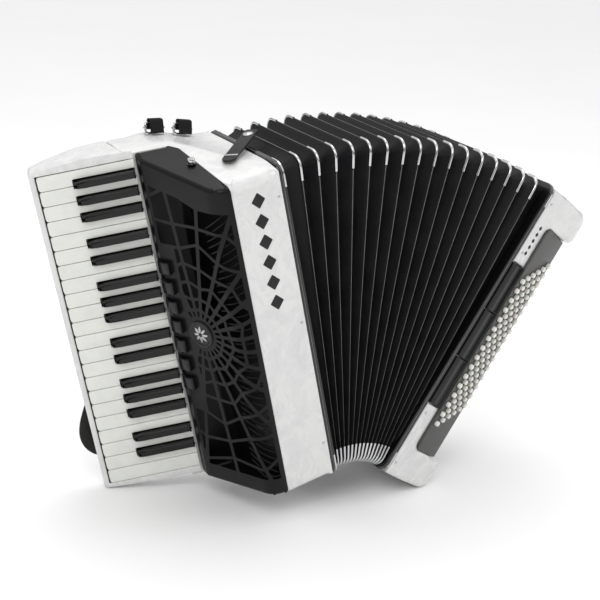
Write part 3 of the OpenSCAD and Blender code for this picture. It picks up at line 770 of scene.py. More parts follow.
WEB_RADII = [22, 34, 50, 70, 94, 122, 153, 187, 226]
WEB_STEP = 15.0
WEB_LOW, WEB_HIGH, WEB_RISE = 30.0, 402.0, 0.23
SLANT_END = float(np.linalg.norm(LIP_EDGE - ROLL - ROLL_R * SLANT_OUT))


def web_windows():
    """Windows between the ribs and rings of the web round the badge, cut off at the web's
    border and short of the registers. Ring heights change from ray to ray, as in a real web."""
    cutters = []
    low_register = REGISTER_Z - REGISTER_PITCH / 2 - 7
    high_register = REGISTER_Z + REGISTER_PITCH * (REGISTER_COUNT - 0.5) + 7
    count = int(360 / WEB_STEP)
    for ray in range(count):
        a, b = ray * WEB_STEP + 4, (ray + 1) * WEB_STEP + 4
        wave = [1 + 0.045 * math.sin(2.4 * ray + n * 1.7) for n in range(len(WEB_RADII))]
        following = [1 + 0.045 * math.sin(2.4 * ((ray + 1) % count) + n * 1.7) for n in range(len(WEB_RADII))]
        wave[0] = following[0] = 1
        for n in range(len(WEB_RADII) - 1):
            r = [WEB_RADII[n] * wave[n] + 2.1, WEB_RADII[n + 1] * wave[n + 1] - 2.1,
                 WEB_RADII[n + 1] * following[n + 1] - 2.1, WEB_RADII[n] * following[n] + 2.1]
            rib = [math.degrees(min(2.7, 1.3 + v / 40) / v) for v in r]
            turns = (a + rib[0], a + rib[1], b - rib[2], b - rib[3])
            cell = [polar(v, turn) for v, turn in zip(r, turns)]
            z = [c[1] for c in cell]
            edge = SLANT_END - 5
            if max(z) > low_register and min(z) < high_register:
                edge = BADGE_S + 17
            for normal, offset in (((1, 0), edge), ((-1, 0), ROLL_LENGTH - 3.5),
                                   ((-WEB_RISE, 1), WEB_HIGH), ((0, -1), -WEB_LOW)):
                if len(cell) > 2:
                    cell = kept(cell, normal, offset)
            if len(cell) < 3 or abs(area(cell)) < 22:
                continue
            if area(cell) < 0:
                cell = cell[::-1]
            cell = [c for c, d in zip(cell, cell[1:] + cell[:1]) if math.dist(c, d) > 1.5]
            if len(cell) > 2:
                cutters.append(window(rounded(cell, 1.1, 6, 3)))
    return cutters


def build_grille(context):
    """A skin over a plan in (x, y), cut by the web's windows and the registers' slot, with
    louvre bars that curve behind it."""
    roll = [ROLL + ROLL_R * np.array([math.cos(a), math.sin(a)])
            for a in np.linspace(1.5 * math.pi, ROLL_END, 12)]
    plan = [(BAND_X - 0.3, GRILLE_FRONT), (-84, 105), (-92, 117), (-133.5, 126.8), LIP_END, LIP_EDGE]
    outline = rounded(plan + roll[::-1], [0.5, 6, 8, 2, 2, 3] + [0] * 12, 6, 4)
    rim = np.where((outline[:, 0] > -94) & (outline[:, 1] > 3), 1.0, 5.0)
    skin = block(outline, GRILLE_LOW, lambda x, y: FRONT_HIGH + FRONT_SLOPE * y + 0.8, rim, rim, rim=6)
    obj = make("grille_cover", [skin], TREBLE.place, [finish("satin"), finish("cloth")])
    low = REGISTER_Z - REGISTER_PITCH / 2
    high = REGISTER_Z + REGISTER_PITCH * (REGISTER_COUNT - 0.5)
    slot = box((LIP[0] - 16, LIP[1] - 34, low), (LIP[0] + 13, LIP[1] + 6, high), 2.5)
    cutters = web_windows() + [slot]
    tool = make("grille_windows", cutters, TREBLE.place, [finish("cloth")], crease=180)
    cut(obj, tool)
    settle(obj, "treble", "black_satin", "treble_grille")
    bars = []
    for i in range(40):
        z = 40 + i * 8.8
        s = np.linspace(3.5 - ROLL_LENGTH, 14, 12)
        fan = (z - BADGE_Z) * 0.24 * np.linspace(-1, 0.3, 12)
        path = over_grille(s, np.clip(z - fan * 0.5, 33, 399), -2.5)
        bars.append(swept(path, [(-0.3, -0.7), (0.3, -0.7), (0.3, 0.5), (-0.3, 0.5)], (0, 0.5, 1)))
    obj = make("grille_louvres", bars, TREBLE.place, [finish("satin")])
    settle(obj, "treble", "black_satin")


def build_registers(context):
    """Seven equal rockers, each a rounded outline carried along the keyboard."""
    side = [(-141.8, 107.5), (-140.4, 101), (-136.7, 91), (-128, 93.5), (-127, 113.5), (-138, 116)]
    outline = rounded(side, [3, 6, 2.5, 1, 1, 1.5], 3, 5)
    half = (REGISTER_PITCH - context.scene.accordion_sizes.rocker_gap / MM) / 2
    rocker = block(outline, -half, half, 2.2, 2.2)
    parts = [shifted(rocker, (0, 0, REGISTER_Z + i * REGISTER_PITCH)) for i in range(REGISTER_COUNT)]
    obj = make("register_rockers", parts, TREBLE.place, [finish("register")])
    settle(obj, "treble_registers", "black_plastic", "treble_registers")


def build_badge(context):
    """A ring with a plain eight-leaf rosette in the middle of the web."""
    t = np.linspace(0, 2 * math.pi, 48, endpoint=False)
    profile = [(18.5, -1), (18.5, 1.2), (17.4, 2.4), (15.2, 2.4), (14.2, 1.4), (13.4, 1.2), (0.2, 1.5)]
    parts = [rings_to_mesh([over_grille(BADGE_S - r * np.cos(t), BADGE_Z + r * np.sin(t), h)
                            for r, h in profile])]
    for a in range(8):
        b = math.radians(a * 45)
        u = np.linspace(0, 2 * math.pi, 16, endpoint=False)
        leaf = np.stack([7.2 + 4.2 * np.cos(u), 1.8 * np.sin(u)], 1)
        s = leaf[:, 0] * math.cos(b) - leaf[:, 1] * math.sin(b)
        z = leaf[:, 0] * math.sin(b) + leaf[:, 1] * math.cos(b)
        parts.append(rings_to_mesh([over_grille(BADGE_S - s * m, BADGE_Z + z * m, h)
                                    for m, h in ((1, 1.2), (0.98, 2.0), (0.9, 2.5))]))
    obj = make("grille_badge", parts, TREBLE.place, [finish("inlay"), finish("steel")], [0] + [1] * 8)
    settle(obj, "treble", "black_satin")


# ---------- Bellows ----------

BELLOWS_Y, BELLOWS_D, BELLOWS_H = 7.0, 170.0, 432.0
FOLDS, FOLD_DEPTH = 16, 15.0
LAST_TURN = math.radians(0.45)


def fan_point(turn, y, z, across=0.0):
    """Row metres of a point on the plane at an angle round the fan's line: z up the plane from
    the folds' low end, across at right angles to it."""
    line = TREBLE.place([0, 0, -FAN_DROP])
    up = np.stack([np.sin(turn), np.zeros_like(turn), np.cos(turn)], -1)
    over = np.stack([np.cos(turn), np.zeros_like(turn), -np.sin(turn)], -1)
    depth = np.stack([np.zeros_like(turn), np.ones_like(turn), np.zeros_like(turn)], -1)
    y, z, across = np.asarray(y)[..., None], np.asarray(z)[..., None], np.asarray(across)[..., None]
    return line + MM * (up * (z + FAN_DROP) + over * across + depth * y)


def fold_turn(t):
    """Angle of the fan at a share t of the way from the treble to the bass end."""
    return TREBLE.turn + (BASS.turn - LAST_TURN - TREBLE.turn) * t


def fold_outline(inset, corner=14.0, count=8):
    """The folds' rounded rectangle in (y, z), moved in by inset."""
    r = max(corner - inset * 0.55, 4.0)
    corners = [(BELLOWS_Y + inset, inset), (BELLOWS_Y + BELLOWS_D - inset, inset),
               (BELLOWS_Y + BELLOWS_D - inset, BELLOWS_H - inset), (BELLOWS_Y + inset, BELLOWS_H - inset)]
    out = []
    for (y, z), a in zip(corners, (180, 270, 0, 90)):
        sy, sz = (1 if y < 90 else -1), (1 if z < 200 else -1)
        t = np.radians(np.linspace(a, a + 90, count))
        out.append(np.column_stack([y + sy * r + r * np.cos(t), z + sz * r + r * np.sin(t)]))
    return np.concatenate(out)


def set_fan(obj):
    """Bends the object between the two cases, each point by its own share of the fan."""
    start, end = TREBLE.place([0, 92, 200]), BASS.place([0, 92, 200])
    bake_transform(obj)


def build_bellows(context):
    """Rings of the folds: two on each outer edge, with the tape between them, and a soft
    valley between neighbours."""
    steps = []
    for i in range(1, FOLDS + 1):
        steps += [(i - 0.13, 3.6, 0), (i - 0.05, 1.1, 0), (i - 0.016, 0.25, 1), (i + 0.016, 0.25, 1),
                  (i + 0.05, 1.1, 0), (i + 0.13, 3.6, 0)]
        if i < FOLDS:
            steps += [(i + 0.42, FOLD_DEPTH - 1.2, 0), (i + 0.5, FOLD_DEPTH, 0),
                      (i + 0.58, FOLD_DEPTH - 1.2, 0)]
    share = np.array([s[0] for s in steps]) / (FOLDS + 1)
    rings = []
    end = fold_outline(9.0)
    rings.append(fan_point(np.full(len(end), TREBLE.turn), end[:, 0], end[:, 1], 0.2))
    for s, (_, inset, _) in zip(share, steps):
        o = fold_outline(inset)
        rings.append(fan_point(np.full(len(o), fold_turn(s)), o[:, 0], o[:, 1]))
    rings.append(fan_point(np.full(len(end), BASS.turn), end[:, 0], end[:, 1], -8.6))
    share = np.concatenate([[0], share, [1]])
    size = len(end)
    points, faces = rings_to_mesh(rings, False, False)
    mesh = bpy.data.meshes.new("bellows_folds_cloth")
    mesh.from_pydata(points, [], faces)
    mesh.materials.append(finish("bellows"))
    mesh.materials.append(finish("tape"))
    taped = [0] + [1 if steps[n][2] and steps[n + 1][2] else 0 for n in range(len(steps) - 1)] + [0]
    mesh.polygons.foreach_set("material_index", np.repeat(taped, size).astype(np.int32))
    shade(mesh, 50)
    obj = bpy.data.objects.new("bellows_folds_cloth", mesh)
    context.scene.collection.objects.link(obj)
    set_fan(obj)
    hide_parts("bellows_folds")


GUARD_SECTION = [(-1.5, -1.9), (-1.45, -0.4), (-1.0, 0.5), (0, 0.9), (1.0, 0.5), (1.45, -0.4), (1.5, -1.9)]


def build_corner_guards(context):
    """A chromed channel over each corner of each outer fold."""
    parts = []
    for i in range(1, FOLDS + 1):
        t = i / (FOLDS + 1)
        for high_y in (0, 1):
            for high_z in (0, 1) if i < FOLDS else (1,):
                arm = np.linspace(0, 1, 4)[:-1]
                bend = np.radians(np.linspace(180, 270, 9))
                r = 14.0
                path = np.concatenate([
                    np.column_stack([np.zeros(3), 30 - arm * (30 - r)]),
                    np.column_stack([r + r * np.cos(bend), r + r * np.sin(bend)]),
                    np.column_stack([r + arm[1:] * 10, np.zeros(2)]), [[24.0, 0.0]]])
                normal = np.gradient(path, axis=0)
                normal = np.stack([normal[:, 1], -normal[:, 0]], 1)
                normal /= np.linalg.norm(normal, axis=1, keepdims=True)
                rings = []
                for across, out in GUARD_SECTION:
                    p = path + normal * out
                    y = p[:, 0] if not high_y else BELLOWS_D - p[:, 0]
                    z = p[:, 1] if not high_z else BELLOWS_H - p[:, 1]
                    rings.append(fan_point(np.full(len(p), fold_turn(t)), BELLOWS_Y + y, z, across))
                rings = np.asarray(rings)
                count, size = rings.shape[:2]
                a, b = np.meshgrid(np.arange(count - 1), np.arange(size - 1), indexing="ij")
                corner = a * size + b
                faces = np.stack([corner, corner + 1, corner + size + 1, corner + size], -1)
                parts.append((rings.reshape(-1, 3), faces.reshape(-1, 4).tolist()))
    points, faces, _ = joined(parts)
    mesh = bpy.data.meshes.new("bellows_corner_guards")
    mesh.from_pydata(points, [], faces)
    mesh.materials.append(finish("chrome"))
    work = bmesh.new()
    work.from_mesh(mesh)
    bmesh.ops.solidify(work, geom=work.faces[:], thickness=context.scene.accordion_sizes.guard_wall)
    bmesh.ops.recalc_face_normals(work, faces=work.faces)
    work.to_mesh(mesh)
    work.free()
    shade(mesh, 45)
    obj = bpy.data.objects.new("bellows_corner_guards", mesh)
    context.scene.collection.objects.link(obj)
    co = np.zeros(len(mesh.vertices) * 3)
    mesh.vertices.foreach_get("co", co)
    away = co.reshape(-1, 3) - TREBLE.place([0, 0, -FAN_DROP])
    set_fan(obj)
    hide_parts("bellows_corners")


def build_end_frames(context):
    """A lacquered frame with rounded edges round each end of the bellows, with a pale line."""
    for case, name in ((TREBLE, "bellows_treble_frame"), (BASS, "bellows_bass_frame")):
        outline = rounded([(1.5, -2), (182.5, -2), (182.5, 434), (1.5, 434)], 14, 30, 8)
        section = [(0, -8.1), (17, -8.1), (17, -0.3), (0.6, -0.3), (-0.4, -1.2), (-0.6, -4.2), (-0.4, -7.2)]
        normals = inward(outline)
        loops = []
        for inset, x in section:
            p = outline + normals * inset
            loops.append(np.column_stack([np.full(len(p), float(x)), p]))
        loops.append(loops[0])
        body = rings_to_mesh(loops, False, False)
        # A thin inlaid line along the frame's rim and a plated guard on each corner
        line = [np.column_stack([np.full(len(outline), x), outline + normals * inset])
                for inset, x in ((-0.75, -5.2), (-0.75, -4.6), (0.5, -4.6), (0.5, -5.2), (-0.75, -5.2))]
        parts, kinds = [body, rings_to_mesh(line, False, False)], [0, 1]
        for high_y in (0, 1):
            for high_z in (0, 1):
                bend = np.radians(np.linspace(180, 270, 10))
                arc = 14 + 14 * np.column_stack([np.cos(bend), np.sin(bend)])
                path = np.concatenate([[[0, 30], [0, 22]], arc, [[20, 0], [24, 0]]])
                y = 1.5 + path[:, 0] if not high_y else 182.5 - path[:, 0]
                z = path[:, 1] - 2 if not high_z else 434 - path[:, 1]
                spine = np.column_stack([np.full(len(path), -2.4), y, z])
                parts.append(swept(spine, [(-1.3, -1.1), (1.3, -1.1), (1.1, 1.1), (-1.1, 1.1)], (1, 0, 0)))
                kinds.append(2)
        coats = [finish("gloss"), finish("tape"), finish("chrome")]
        obj = make(name + "_lacquer", parts, case.place, coats, kinds)
        settle(obj, case.body, "black_lacquer", name)


# ---------- Bass case ----------

BASS_W, BASS_LOW, BASS_HIGH, OUTER_R = 100.0, -2.0, 431.0, 26.0
FRONT_W, LOBE_W, LOBE_H, EDGE_Y = 25.0, 72.0, 45.0, 43.0
BARS_HIGH, BAR_PITCH = 322.0, 72.0
BARS_LOW = BARS_HIGH - 3 * BAR_PITCH
PLATE_TURN = math.atan2(EDGE_Y, BASS_W - 2 - FRONT_W)


def lobe_front(x, z=None):
    """Depth of the lobes' front: a gentle slant to LOBE_W, then a quarter round to the side."""
    x = np.asarray(x, float)
    r = BASS_W - LOBE_W
    slant = x * (EDGE_Y - r) / LOBE_W
    turned = EDGE_Y - np.sqrt(np.clip(r * r - (x - LOBE_W) ** 2, 0, None))
    return np.where(x < LOBE_W, slant, turned)


def recess_floor(x, z=None):
    """Depth of the slanted floor that the button plate lies on."""
    return 4.0 + np.maximum(np.asarray(x, float) - FRONT_W, 0) * math.tan(PLATE_TURN)


def bass_block(outline, front, back, r_front, r_back, net=0):
    """A solid over an (x, z) outline between two depths, y running back."""
    made, faces = block(outline, lambda x, z: -back(x, z), lambda x, z: -front(x, z), r_back, r_front,
                        net_high=net, rim=5)
    return np.stack([made[:, 0], -made[:, 2], made[:, 1]], 1), faces


def build_bass_case(context):
    """A back body over a rounded (x, z) outline and two lobed front bodies over their own."""
    low, high = BASS_LOW, BASS_HIGH
    whole = rounded([(0.3, low), (BASS_W, low), (BASS_W, high), (0.3, high)], [0, OUTER_R, OUTER_R, 0], 7, 8)
    back = bass_block(whole, recess_floor, lambda x, z: np.full(np.shape(x), CASE_D), 0.6, 8)
    parts = [back]
    lower = [(0.3, low), (BASS_W, low), (BASS_W, low + LOBE_H), (FRONT_W, low + LOBE_H),
             (FRONT_W, BARS_LOW - 0.8), (0.3, BARS_LOW - 0.8)]
    upper = [(0.3, BARS_HIGH + 0.8), (FRONT_W, BARS_HIGH + 0.8), (FRONT_W, high - LOBE_H),
             (BASS_W, high - LOBE_H), (BASS_W, high), (0.3, high)]
    for shape, radii in ((lower, [0, OUTER_R, 13, 12, 0.5, 0]), (upper, [0, 0.5, 12, 13, OUTER_R, 0])):
        outline = rounded(shape, radii, 5, 8)
        outline[:, 0] = np.minimum(outline[:, 0], BASS_W + 0.02)
        edge = np.interp(outline[:, 0], [42, 68, 85, BASS_W], [2.4, 9.5, 9.0, 6.0])
        parts.append(bass_block(outline, lobe_front, lambda x, z: recess_floor(x) + 2.0, edge, 0.1, net=3.5))
    obj = make("bass_shell", parts, BASS.place, [finish("pearl")])
    settle(obj, "bass", "pearl_celluloid", "bass_case", "bass_reed_blocks")


def on_plate(points):
    """Plate coordinates (x outwards along the slant, z, height over the plate) to row metres."""
    p = np.asarray(points, float)
    c, s = math.cos(PLATE_TURN), math.sin(PLATE_TURN)
    x, y = p[..., 0], -p[..., 2]
    return BASS.place(np.stack([FRONT_W + x * c - y * s, 0.6 + x * s + y * c, p[..., 1]], -1))


BUTTON_LOW, BUTTON_FIRST, ROW, COLUMN, RISE, BUTTON_R = 87.0, 10.0, 14.67, 12.4, 7.9, 3.7
ROWS, COLUMNS = 16, 6


def button_places():
    """(x, z) of each button on the plate, column by column, each column a step higher."""
    return [(BUTTON_FIRST + c * COLUMN, BUTTON_LOW + r * ROW + c * RISE)
            for c in range(COLUMNS) for r in range(ROWS)]


def build_button_plate(context):
    """A plate with a turned collar round each button."""
    length = math.hypot(BASS_W - 2 - FRONT_W, EDGE_Y)
    low, high = BASS_LOW + LOBE_H + 0.6, BASS_HIGH - LOBE_H - 0.6
    corners = [(0.6, low), (length - 1.2, low), (length - 1.2, high), (0.6, high)]
    outline = rounded(corners, [11, 1.5, 1.5, 11], 12, 6)
    parts = [block(outline, -3.2, -0.2, 0.2, 0.6)]
    collar = [(BUTTON_R + out, height)
              for out, height in ((1.35, -0.4), (1.35, 0.05), (1.0, 0.18), (0.5, 0.05), (0.4, -0.15))]
    for x, z in button_places():
        parts.append(shifted(lathe(collar, 20), (x, z, 0)))
    kinds = [0] + [1] * len(button_places())
    obj = make("button_plate", parts, on_plate, [finish("plate"), finish("dark")], kinds)
    settle(obj, "bass", "grey_plate", "bass_button_plate")


def build_buttons(context):
    """Domed buttons with a soft shoulder."""
    t = np.linspace(0, math.pi / 2, 7)[:-1]
    sizes = context.scene.accordion_sizes
    high, dome = sizes.button_height / MM, sizes.button_dome / MM
    profile = [(BUTTON_R - 0.15, 0.02), (BUTTON_R, 0.25), (BUTTON_R, high)]
    profile += [(BUTTON_R * math.cos(a) ** 0.7, high + dome * math.sin(a)) for a in t[1:]]
    profile.append((0.05, high + dome))
    parts = [shifted(lathe(profile, 18), (x, z, 0)) for x, z in button_places()]
    obj = make("bass_button_set", parts, on_plate, [finish("ivory")], crease=60)
    settle(obj, "bass_buttons", "ivory_plastic", "bass_buttons")


def build_bass_registers(context):
    """Three bars over an (x, z) outline with a hollow side, whose front rises as exp(-x^2)."""
    for i, name in enumerate(("upper", "middle", "lower")):
        high = BARS_HIGH - i * BAR_PITCH - 0.4
        low = high - BAR_PITCH + 0.8
        z = np.linspace(low + 8, high - 8, 9)
        dip = 24.0 - 3.6 * np.sin(np.linspace(0, math.pi, 9))
        corners = [(0.6, low), (23.6, low)] + [(a, b) for a, b in zip(dip, z)] + [(23.6, high), (0.6, high)]
        outline = rounded(corners, [0.8, 3] + [0] * 9 + [3, 0.8], 8, 4)
        bar, faces = bass_block(outline, lambda x, z: -1.0 + 2.2 * np.exp(-((x - 15) / 4.5) ** 2),
                                lambda x, z: np.full(np.shape(x), 7.2), 1.2, 0.3, net=1.6)
        obj = make(f"bass_bar_{name}", [(bar, faces)], BASS.place, [finish("register")])
        settle(obj, f"bass_register_{name}", "black_plastic", f"bass_register_{name}")


def build_hand_strap(context):
    """Padded leather band that bows off the case, with a stitched edge line on each side."""
    mid, half, bow = (BASS_LOW + BASS_HIGH) / 2, 165.0, context.scene.accordion_sizes.strap_bow / MM
    s = np.linspace(-1, 1, 49)
    path = np.column_stack([BASS_W + bow * (1 - s * s) ** 2 + 0.25, np.full(49, 110.0), mid + s * half])
    w, t = 32.0, 3.5
    section = rounded([(-w, 0), (w, 0), (w, t), (-w, t)], [1, 1, 1.6, 1.6], 6, 4)
    crown = np.where(section[:, 1] > t * 0.6, 0.0 - 0.5 * (np.abs(np.abs(section[:, 0]) - (w - 4)) < 1.2), 0)
    section[:, 1] += crown
    band = swept(path, section, (1, 0, 0))
    parts, kinds = [band], [0]
    for side in (-1, 1):
        for a in np.linspace(-0.93, 0.93, 84):
            x = BASS_W + bow * (1 - a * a) ** 2 + t + 0.3
            slope = -4 * bow * a * (1 - a * a) / half
            stitch = box((-0.35, -1.3, -0.3), (0.35, 1.3, 0.35), 0.25)
            along = np.array([slope, 0, 1]) / math.hypot(slope, 1)
            out = np.array([along[2], 0, -along[0]])
            turn = np.stack([np.cross(along, out), along, out])
            parts.append(shifted(stitch, (x - 0.25, 110 + side * (w - 4), mid + a * half), turn))
            kinds.append(1)
    obj = make("hand_strap_leather", parts, BASS.place, [finish("leather"), finish("inlay")], kinds)
    settle(obj, "bass", "leather", "bass_hand_strap")


def build_bass_hardware(context):
    """Knurled wheel of the hand strap, and the air button, both turned from a profile."""
    profile = [(0.3, 0), (11.4, 0), (12, 0.6), (12, 6.4), (11.4, 7), (8, 7), (7.4, 6.4), (3.2, 6.4),
               (2.8, 7.2), (0.3, 7.2)]
    wheel = shifted(knurled(lathe(profile, 72), 11.9, 0.045, 24), (66, 110, 431.4))
    obj = make("strap_adjuster", [wheel], BASS.place, [finish("chrome")])
    settle(obj, "strap_wheel", "chrome", "strap_wheel")
    cap = [(0.2, 0), (7.9, 0), (7.9, 9.5), (7.2, 10.6), (5.4, 11), (4.8, 10.4), (0.2, 10.2)]
    button = shifted(lathe(cap, 40), (BASS_W - 5, 152, 330), [[0, 1, 0], [0, 0, 1], [1, 0, 0]])
    obj = make("air_valve_button", [button], BASS.place, [finish("chrome")])
    settle(obj, "air_button", "chrome", "air_button")


# ---------- Straps and small metalwork ----------


BRACKETS = (-86.0, -50.0)
BRACKET_Y, BRACKET_W = 168.0, 11.0
STRAP_AT, STRAP_TURN = (-54, 40, 442.5), math.radians(43)


def on_bracket(x, part):
    """A part given about a bracket's middle, laid on the case's top there."""
    left, right = float(swell(x - BRACKET_W)), float(swell(x + BRACKET_W))
    turn = math.atan2(left - right, 2 * BRACKET_W)
    c, s = math.cos(turn), math.sin(turn)
    foot = (x + 0.6 * s, BRACKET_Y, (left + right) / 2 + 0.6 * c)
    return shifted(part, foot, [[c, 0, -s], [0, 1, 0], [s, 0, c]])


def build_strap_brackets(context):
    """Base plates with two screws and a wire ring that leans back over each."""
    parts = []
    for x in BRACKETS:
        plate = rounded([(-13, -4), (13, -4), (13, 4), (-13, 4)], 3.9, 20, 6)
        parts.append(on_bracket(x, block(plate, 0, 1.6, 0.2, 0.6)))
        loop = rounded([(-12, 1), (12, 1), (12, 14.5), (-12, 14.5)], 4.5, 30, 7)
        path = np.column_stack([loop[:, 0], (loop[:, 1] - 1) * 0.25, loop[:, 1]])
        parts.append(on_bracket(x, swept(path, circle(1.3, 12), (0, 1, 0), closed=True)))
        for side in (-1, 1):
            head = lathe([(0.1, 1.4), (2.1, 1.4), (2.0, 2.2), (1.3, 2.7), (0.1, 2.8)], 20)
            parts.append(on_bracket(x, shifted(head, (side * 9.6, 0, 0))))
            bead = lathe([(0.1, -1.6), (2.0, -1.4), (2.4, 0), (2.0, 1.4), (0.1, 1.6)], 16)
            parts.append(on_bracket(x, shifted(bead, (side * 12, 1.6, 7.5))))
    obj = make("strap_brackets_metal", parts, TREBLE.place, [finish("chrome")])
    settle(obj, "treble", "chrome", "strap_brackets")


def band(path, width, thickness, up):
    """A flat strap of a width across the path's plane."""
    section = rounded([(-thickness / 2, -width / 2), (thickness / 2, -width / 2), (thickness / 2, width / 2),
                       (-thickness / 2, width / 2)], thickness * 0.35, 30, 3)
    return swept(path, section, up)


def build_straps(context):
    """Webbing loops, the bellows strap and the shoulder strap's end, each a section along a path."""
    parts, kinds = [], []
    for x in BRACKETS:
        line = [(-9, 3.2), (-3.4, 18.5), (4.8, 18.5), (4.2, 5.6), (13.5, 5.2)]
        line = rounded(line, [0, 2.6, 2.6, 2, 0], 3, 5)
        line = line[: np.argmax(line[:, 0]) + 1]
        path = np.column_stack([np.zeros(len(line)), line])
        parts.append(on_bracket(x, band(path, 18, 2.0, (1, 0, 0))))
        kinds.append(0)
    c, s = math.cos(STRAP_TURN), math.sin(STRAP_TURN)
    axes = [[c, s, 0], [-s, c, 0], [0, 0, 1]]
    outline = rounded([(0, -8.8), (97.5, -8.8), (97.5, 8.8), (0, 8.8)], [8.6, 5, 5, 8.6], 6, 8)
    strap = block(outline, 0.1, 2.9, 0.6, 0.9)
    parts.append(shifted(strap, STRAP_AT, axes))
    kinds.append(1)
    bend = [(-150, 47), (-200, 53), (-232, 61), (-245, 71), (-249.5, 85), (-246, 100), (-235, 120),
            (-212, 154), (-174, 210), (-150, 242)]
    spine = catmull(bend, 8)
    path = np.column_stack([spine[:, 0], np.full(len(spine), 194.3), spine[:, 1]])
    section = rounded([(-15.2, -1.5), (15.2, -1.5), (15.2, 1.5), (-15.2, 1.5)], 1.0, 10, 3)
    parts.append(swept(path, section, (0, 1, 0)))
    kinds.append(1)
    for z in (34, 226):
        parts.append(box((-158, 184.5, z), (-150, 194, z + 26), 1.0))
        kinds.append(1)
    obj = make("black_straps", parts, TREBLE.place, [finish("webbing"), finish("leather")], kinds)
    settle(obj, "treble", "leather", "leather_straps")
    snap = [(0.2, 0), (6.2, 0), (6.6, 0.6), (6.0, 1.2), (4.4, 1.3), (3.6, 2.0), (0.2, 2.3)]
    clip = shifted(box((14, -8.8, 2.7), (17.5, 8.8, 3.8), 0.4), STRAP_AT, axes)
    dome = shifted(shifted(lathe(snap, 32), (82, 0, 2.7)), STRAP_AT, axes)
    obj = make("strap_snap", [clip, dome], TREBLE.place, [finish("chrome")])
    settle(obj, "treble", "chrome")


def catmull(points, steps):
    """A smooth curve through the points (Catmull-Rom), with steps pieces between neighbours."""
    p = np.asarray(points, float)
    p = np.concatenate([2 * p[:1] - p[1:2], p, 2 * p[-1:] - p[-2:-1]])
    t = np.linspace(0, 1, steps, endpoint=False)[:, None]
    runs = []
    for a, b, c, d in zip(p, p[1:], p[2:], p[3:]):
        runs.append(b + 0.5 * t * (c - a + t * (2 * a - 5 * b + 4 * c - d + t * (3 * b - a - 3 * c + d))))
    return np.concatenate(runs + [p[-2:-1]])


def build_grille_screws(context):
    """Two knurled screws turned from a profile, each on a washer."""
    parts, kinds = [], []
    top = FRONT_HIGH + FRONT_SLOPE * 71 + 0.7
    head = [(0.2, 0), (4.2, 0), (4.7, 0.8), (4.7, 5.4), (4.0, 6.4), (0.2, 6.8)]
    for z, flip in ((top, 1), (5.6, -1)):
        points, faces = knurled(lathe(head, 48), 4.6, 0.06, 16)
        points[:, 2] *= flip
        parts.append((points + np.array([-88, 66, z]), faces))
        kinds.append(0)
        washer = lathe([(0.2, -0.6), (5.6, -0.6), (5.6, 0.3), (0.2, 0.3)], 32)
        parts.append(shifted(washer, (-88, 66, z)))
        kinds.append(1)
    obj = make("grille_thumb_screws", parts, TREBLE.place, [finish("chrome"), finish("gloss")], kinds)
    settle(obj, "treble", "chrome", "grille_screws")


def build_ornaments(context):
    """Plain lozenge inlays down both front bands."""

    def lozenge(cx, cz, w, h, front):
        outline = rounded([(cx - w, cz), (cx, cz - h), (cx + w, cz), (cx, cz + h)], 1.2, 8, 4)
        return bass_block(outline, lambda x, z: front(x) - 0.35, lambda x, z: front(x) + 0.6, 0.3, 0.1)

    def flat(x):
        return np.zeros(np.shape(x))

    parts = [lozenge(-42, 400 - i * 27, 9.5, 10.5, flat) for i in range(6)]
    obj = make("treble_inlays", parts, TREBLE.place, [finish("inlay")])
    settle(obj, "treble", "black_satin")
    parts = [lozenge(12.5, 378 - i * 9.5, 3.2, 3.6, lobe_front) for i in range(5)]
    obj = make("bass_inlays", parts, BASS.place, [finish("inlay")])
    settle(obj, "bass", "black_satin")
    head = lathe([(0.1, 0.9), (0.9, 0.85), (1.7, 0.55), (2.1, 0.1), (2.1, -0.6)], 20)
    forward = [[1, 0, 0], [0, 0, 1], [0, -1, 0]]
    parts = [shifted(head, (-14.5, 0, z), forward) for z in (52, 226, 396)]
    obj = make("treble_band_screws", parts, TREBLE.place, [finish("steel")])
    settle(obj, "treble", "chrome")
    parts = [shifted(head, (5.5, float(lobe_front(5.5)), z), forward) for z in (16, 92, 338, 412)]
    obj = make("bass_band_screws", parts, BASS.place, [finish("steel")])
    settle(obj, "bass", "chrome")


# ---------- Stage ----------


CAMERA_AT, CAMERA_LENS, SENSOR = (-1.1335, -1.808, 0.968), 103.8, 36.0
CAMERA_AHEAD, CAMERA_RIGHT = (0.4959, 0.8089, -0.3159), (0.8625, -0.5011, 0.0708)
FLOOR_HALF = 6.0
LAMPS = [("key_light", (-1.6, -1.9, 2.6), (0, 0, 0.25), 1.4, 26),
         ("fill_light", (2.2, -1.2, 1.6), (0.1, 0, 0.25), 1.6, 7),
         ("top_light", (0.2, 0.5, 2.6), (0, 0, 0.3), 1.6, 14)]
DIM, DIM_END, BRIGHT_START, BACKDROP = 0.3, 0.55, 0.72, 1.2


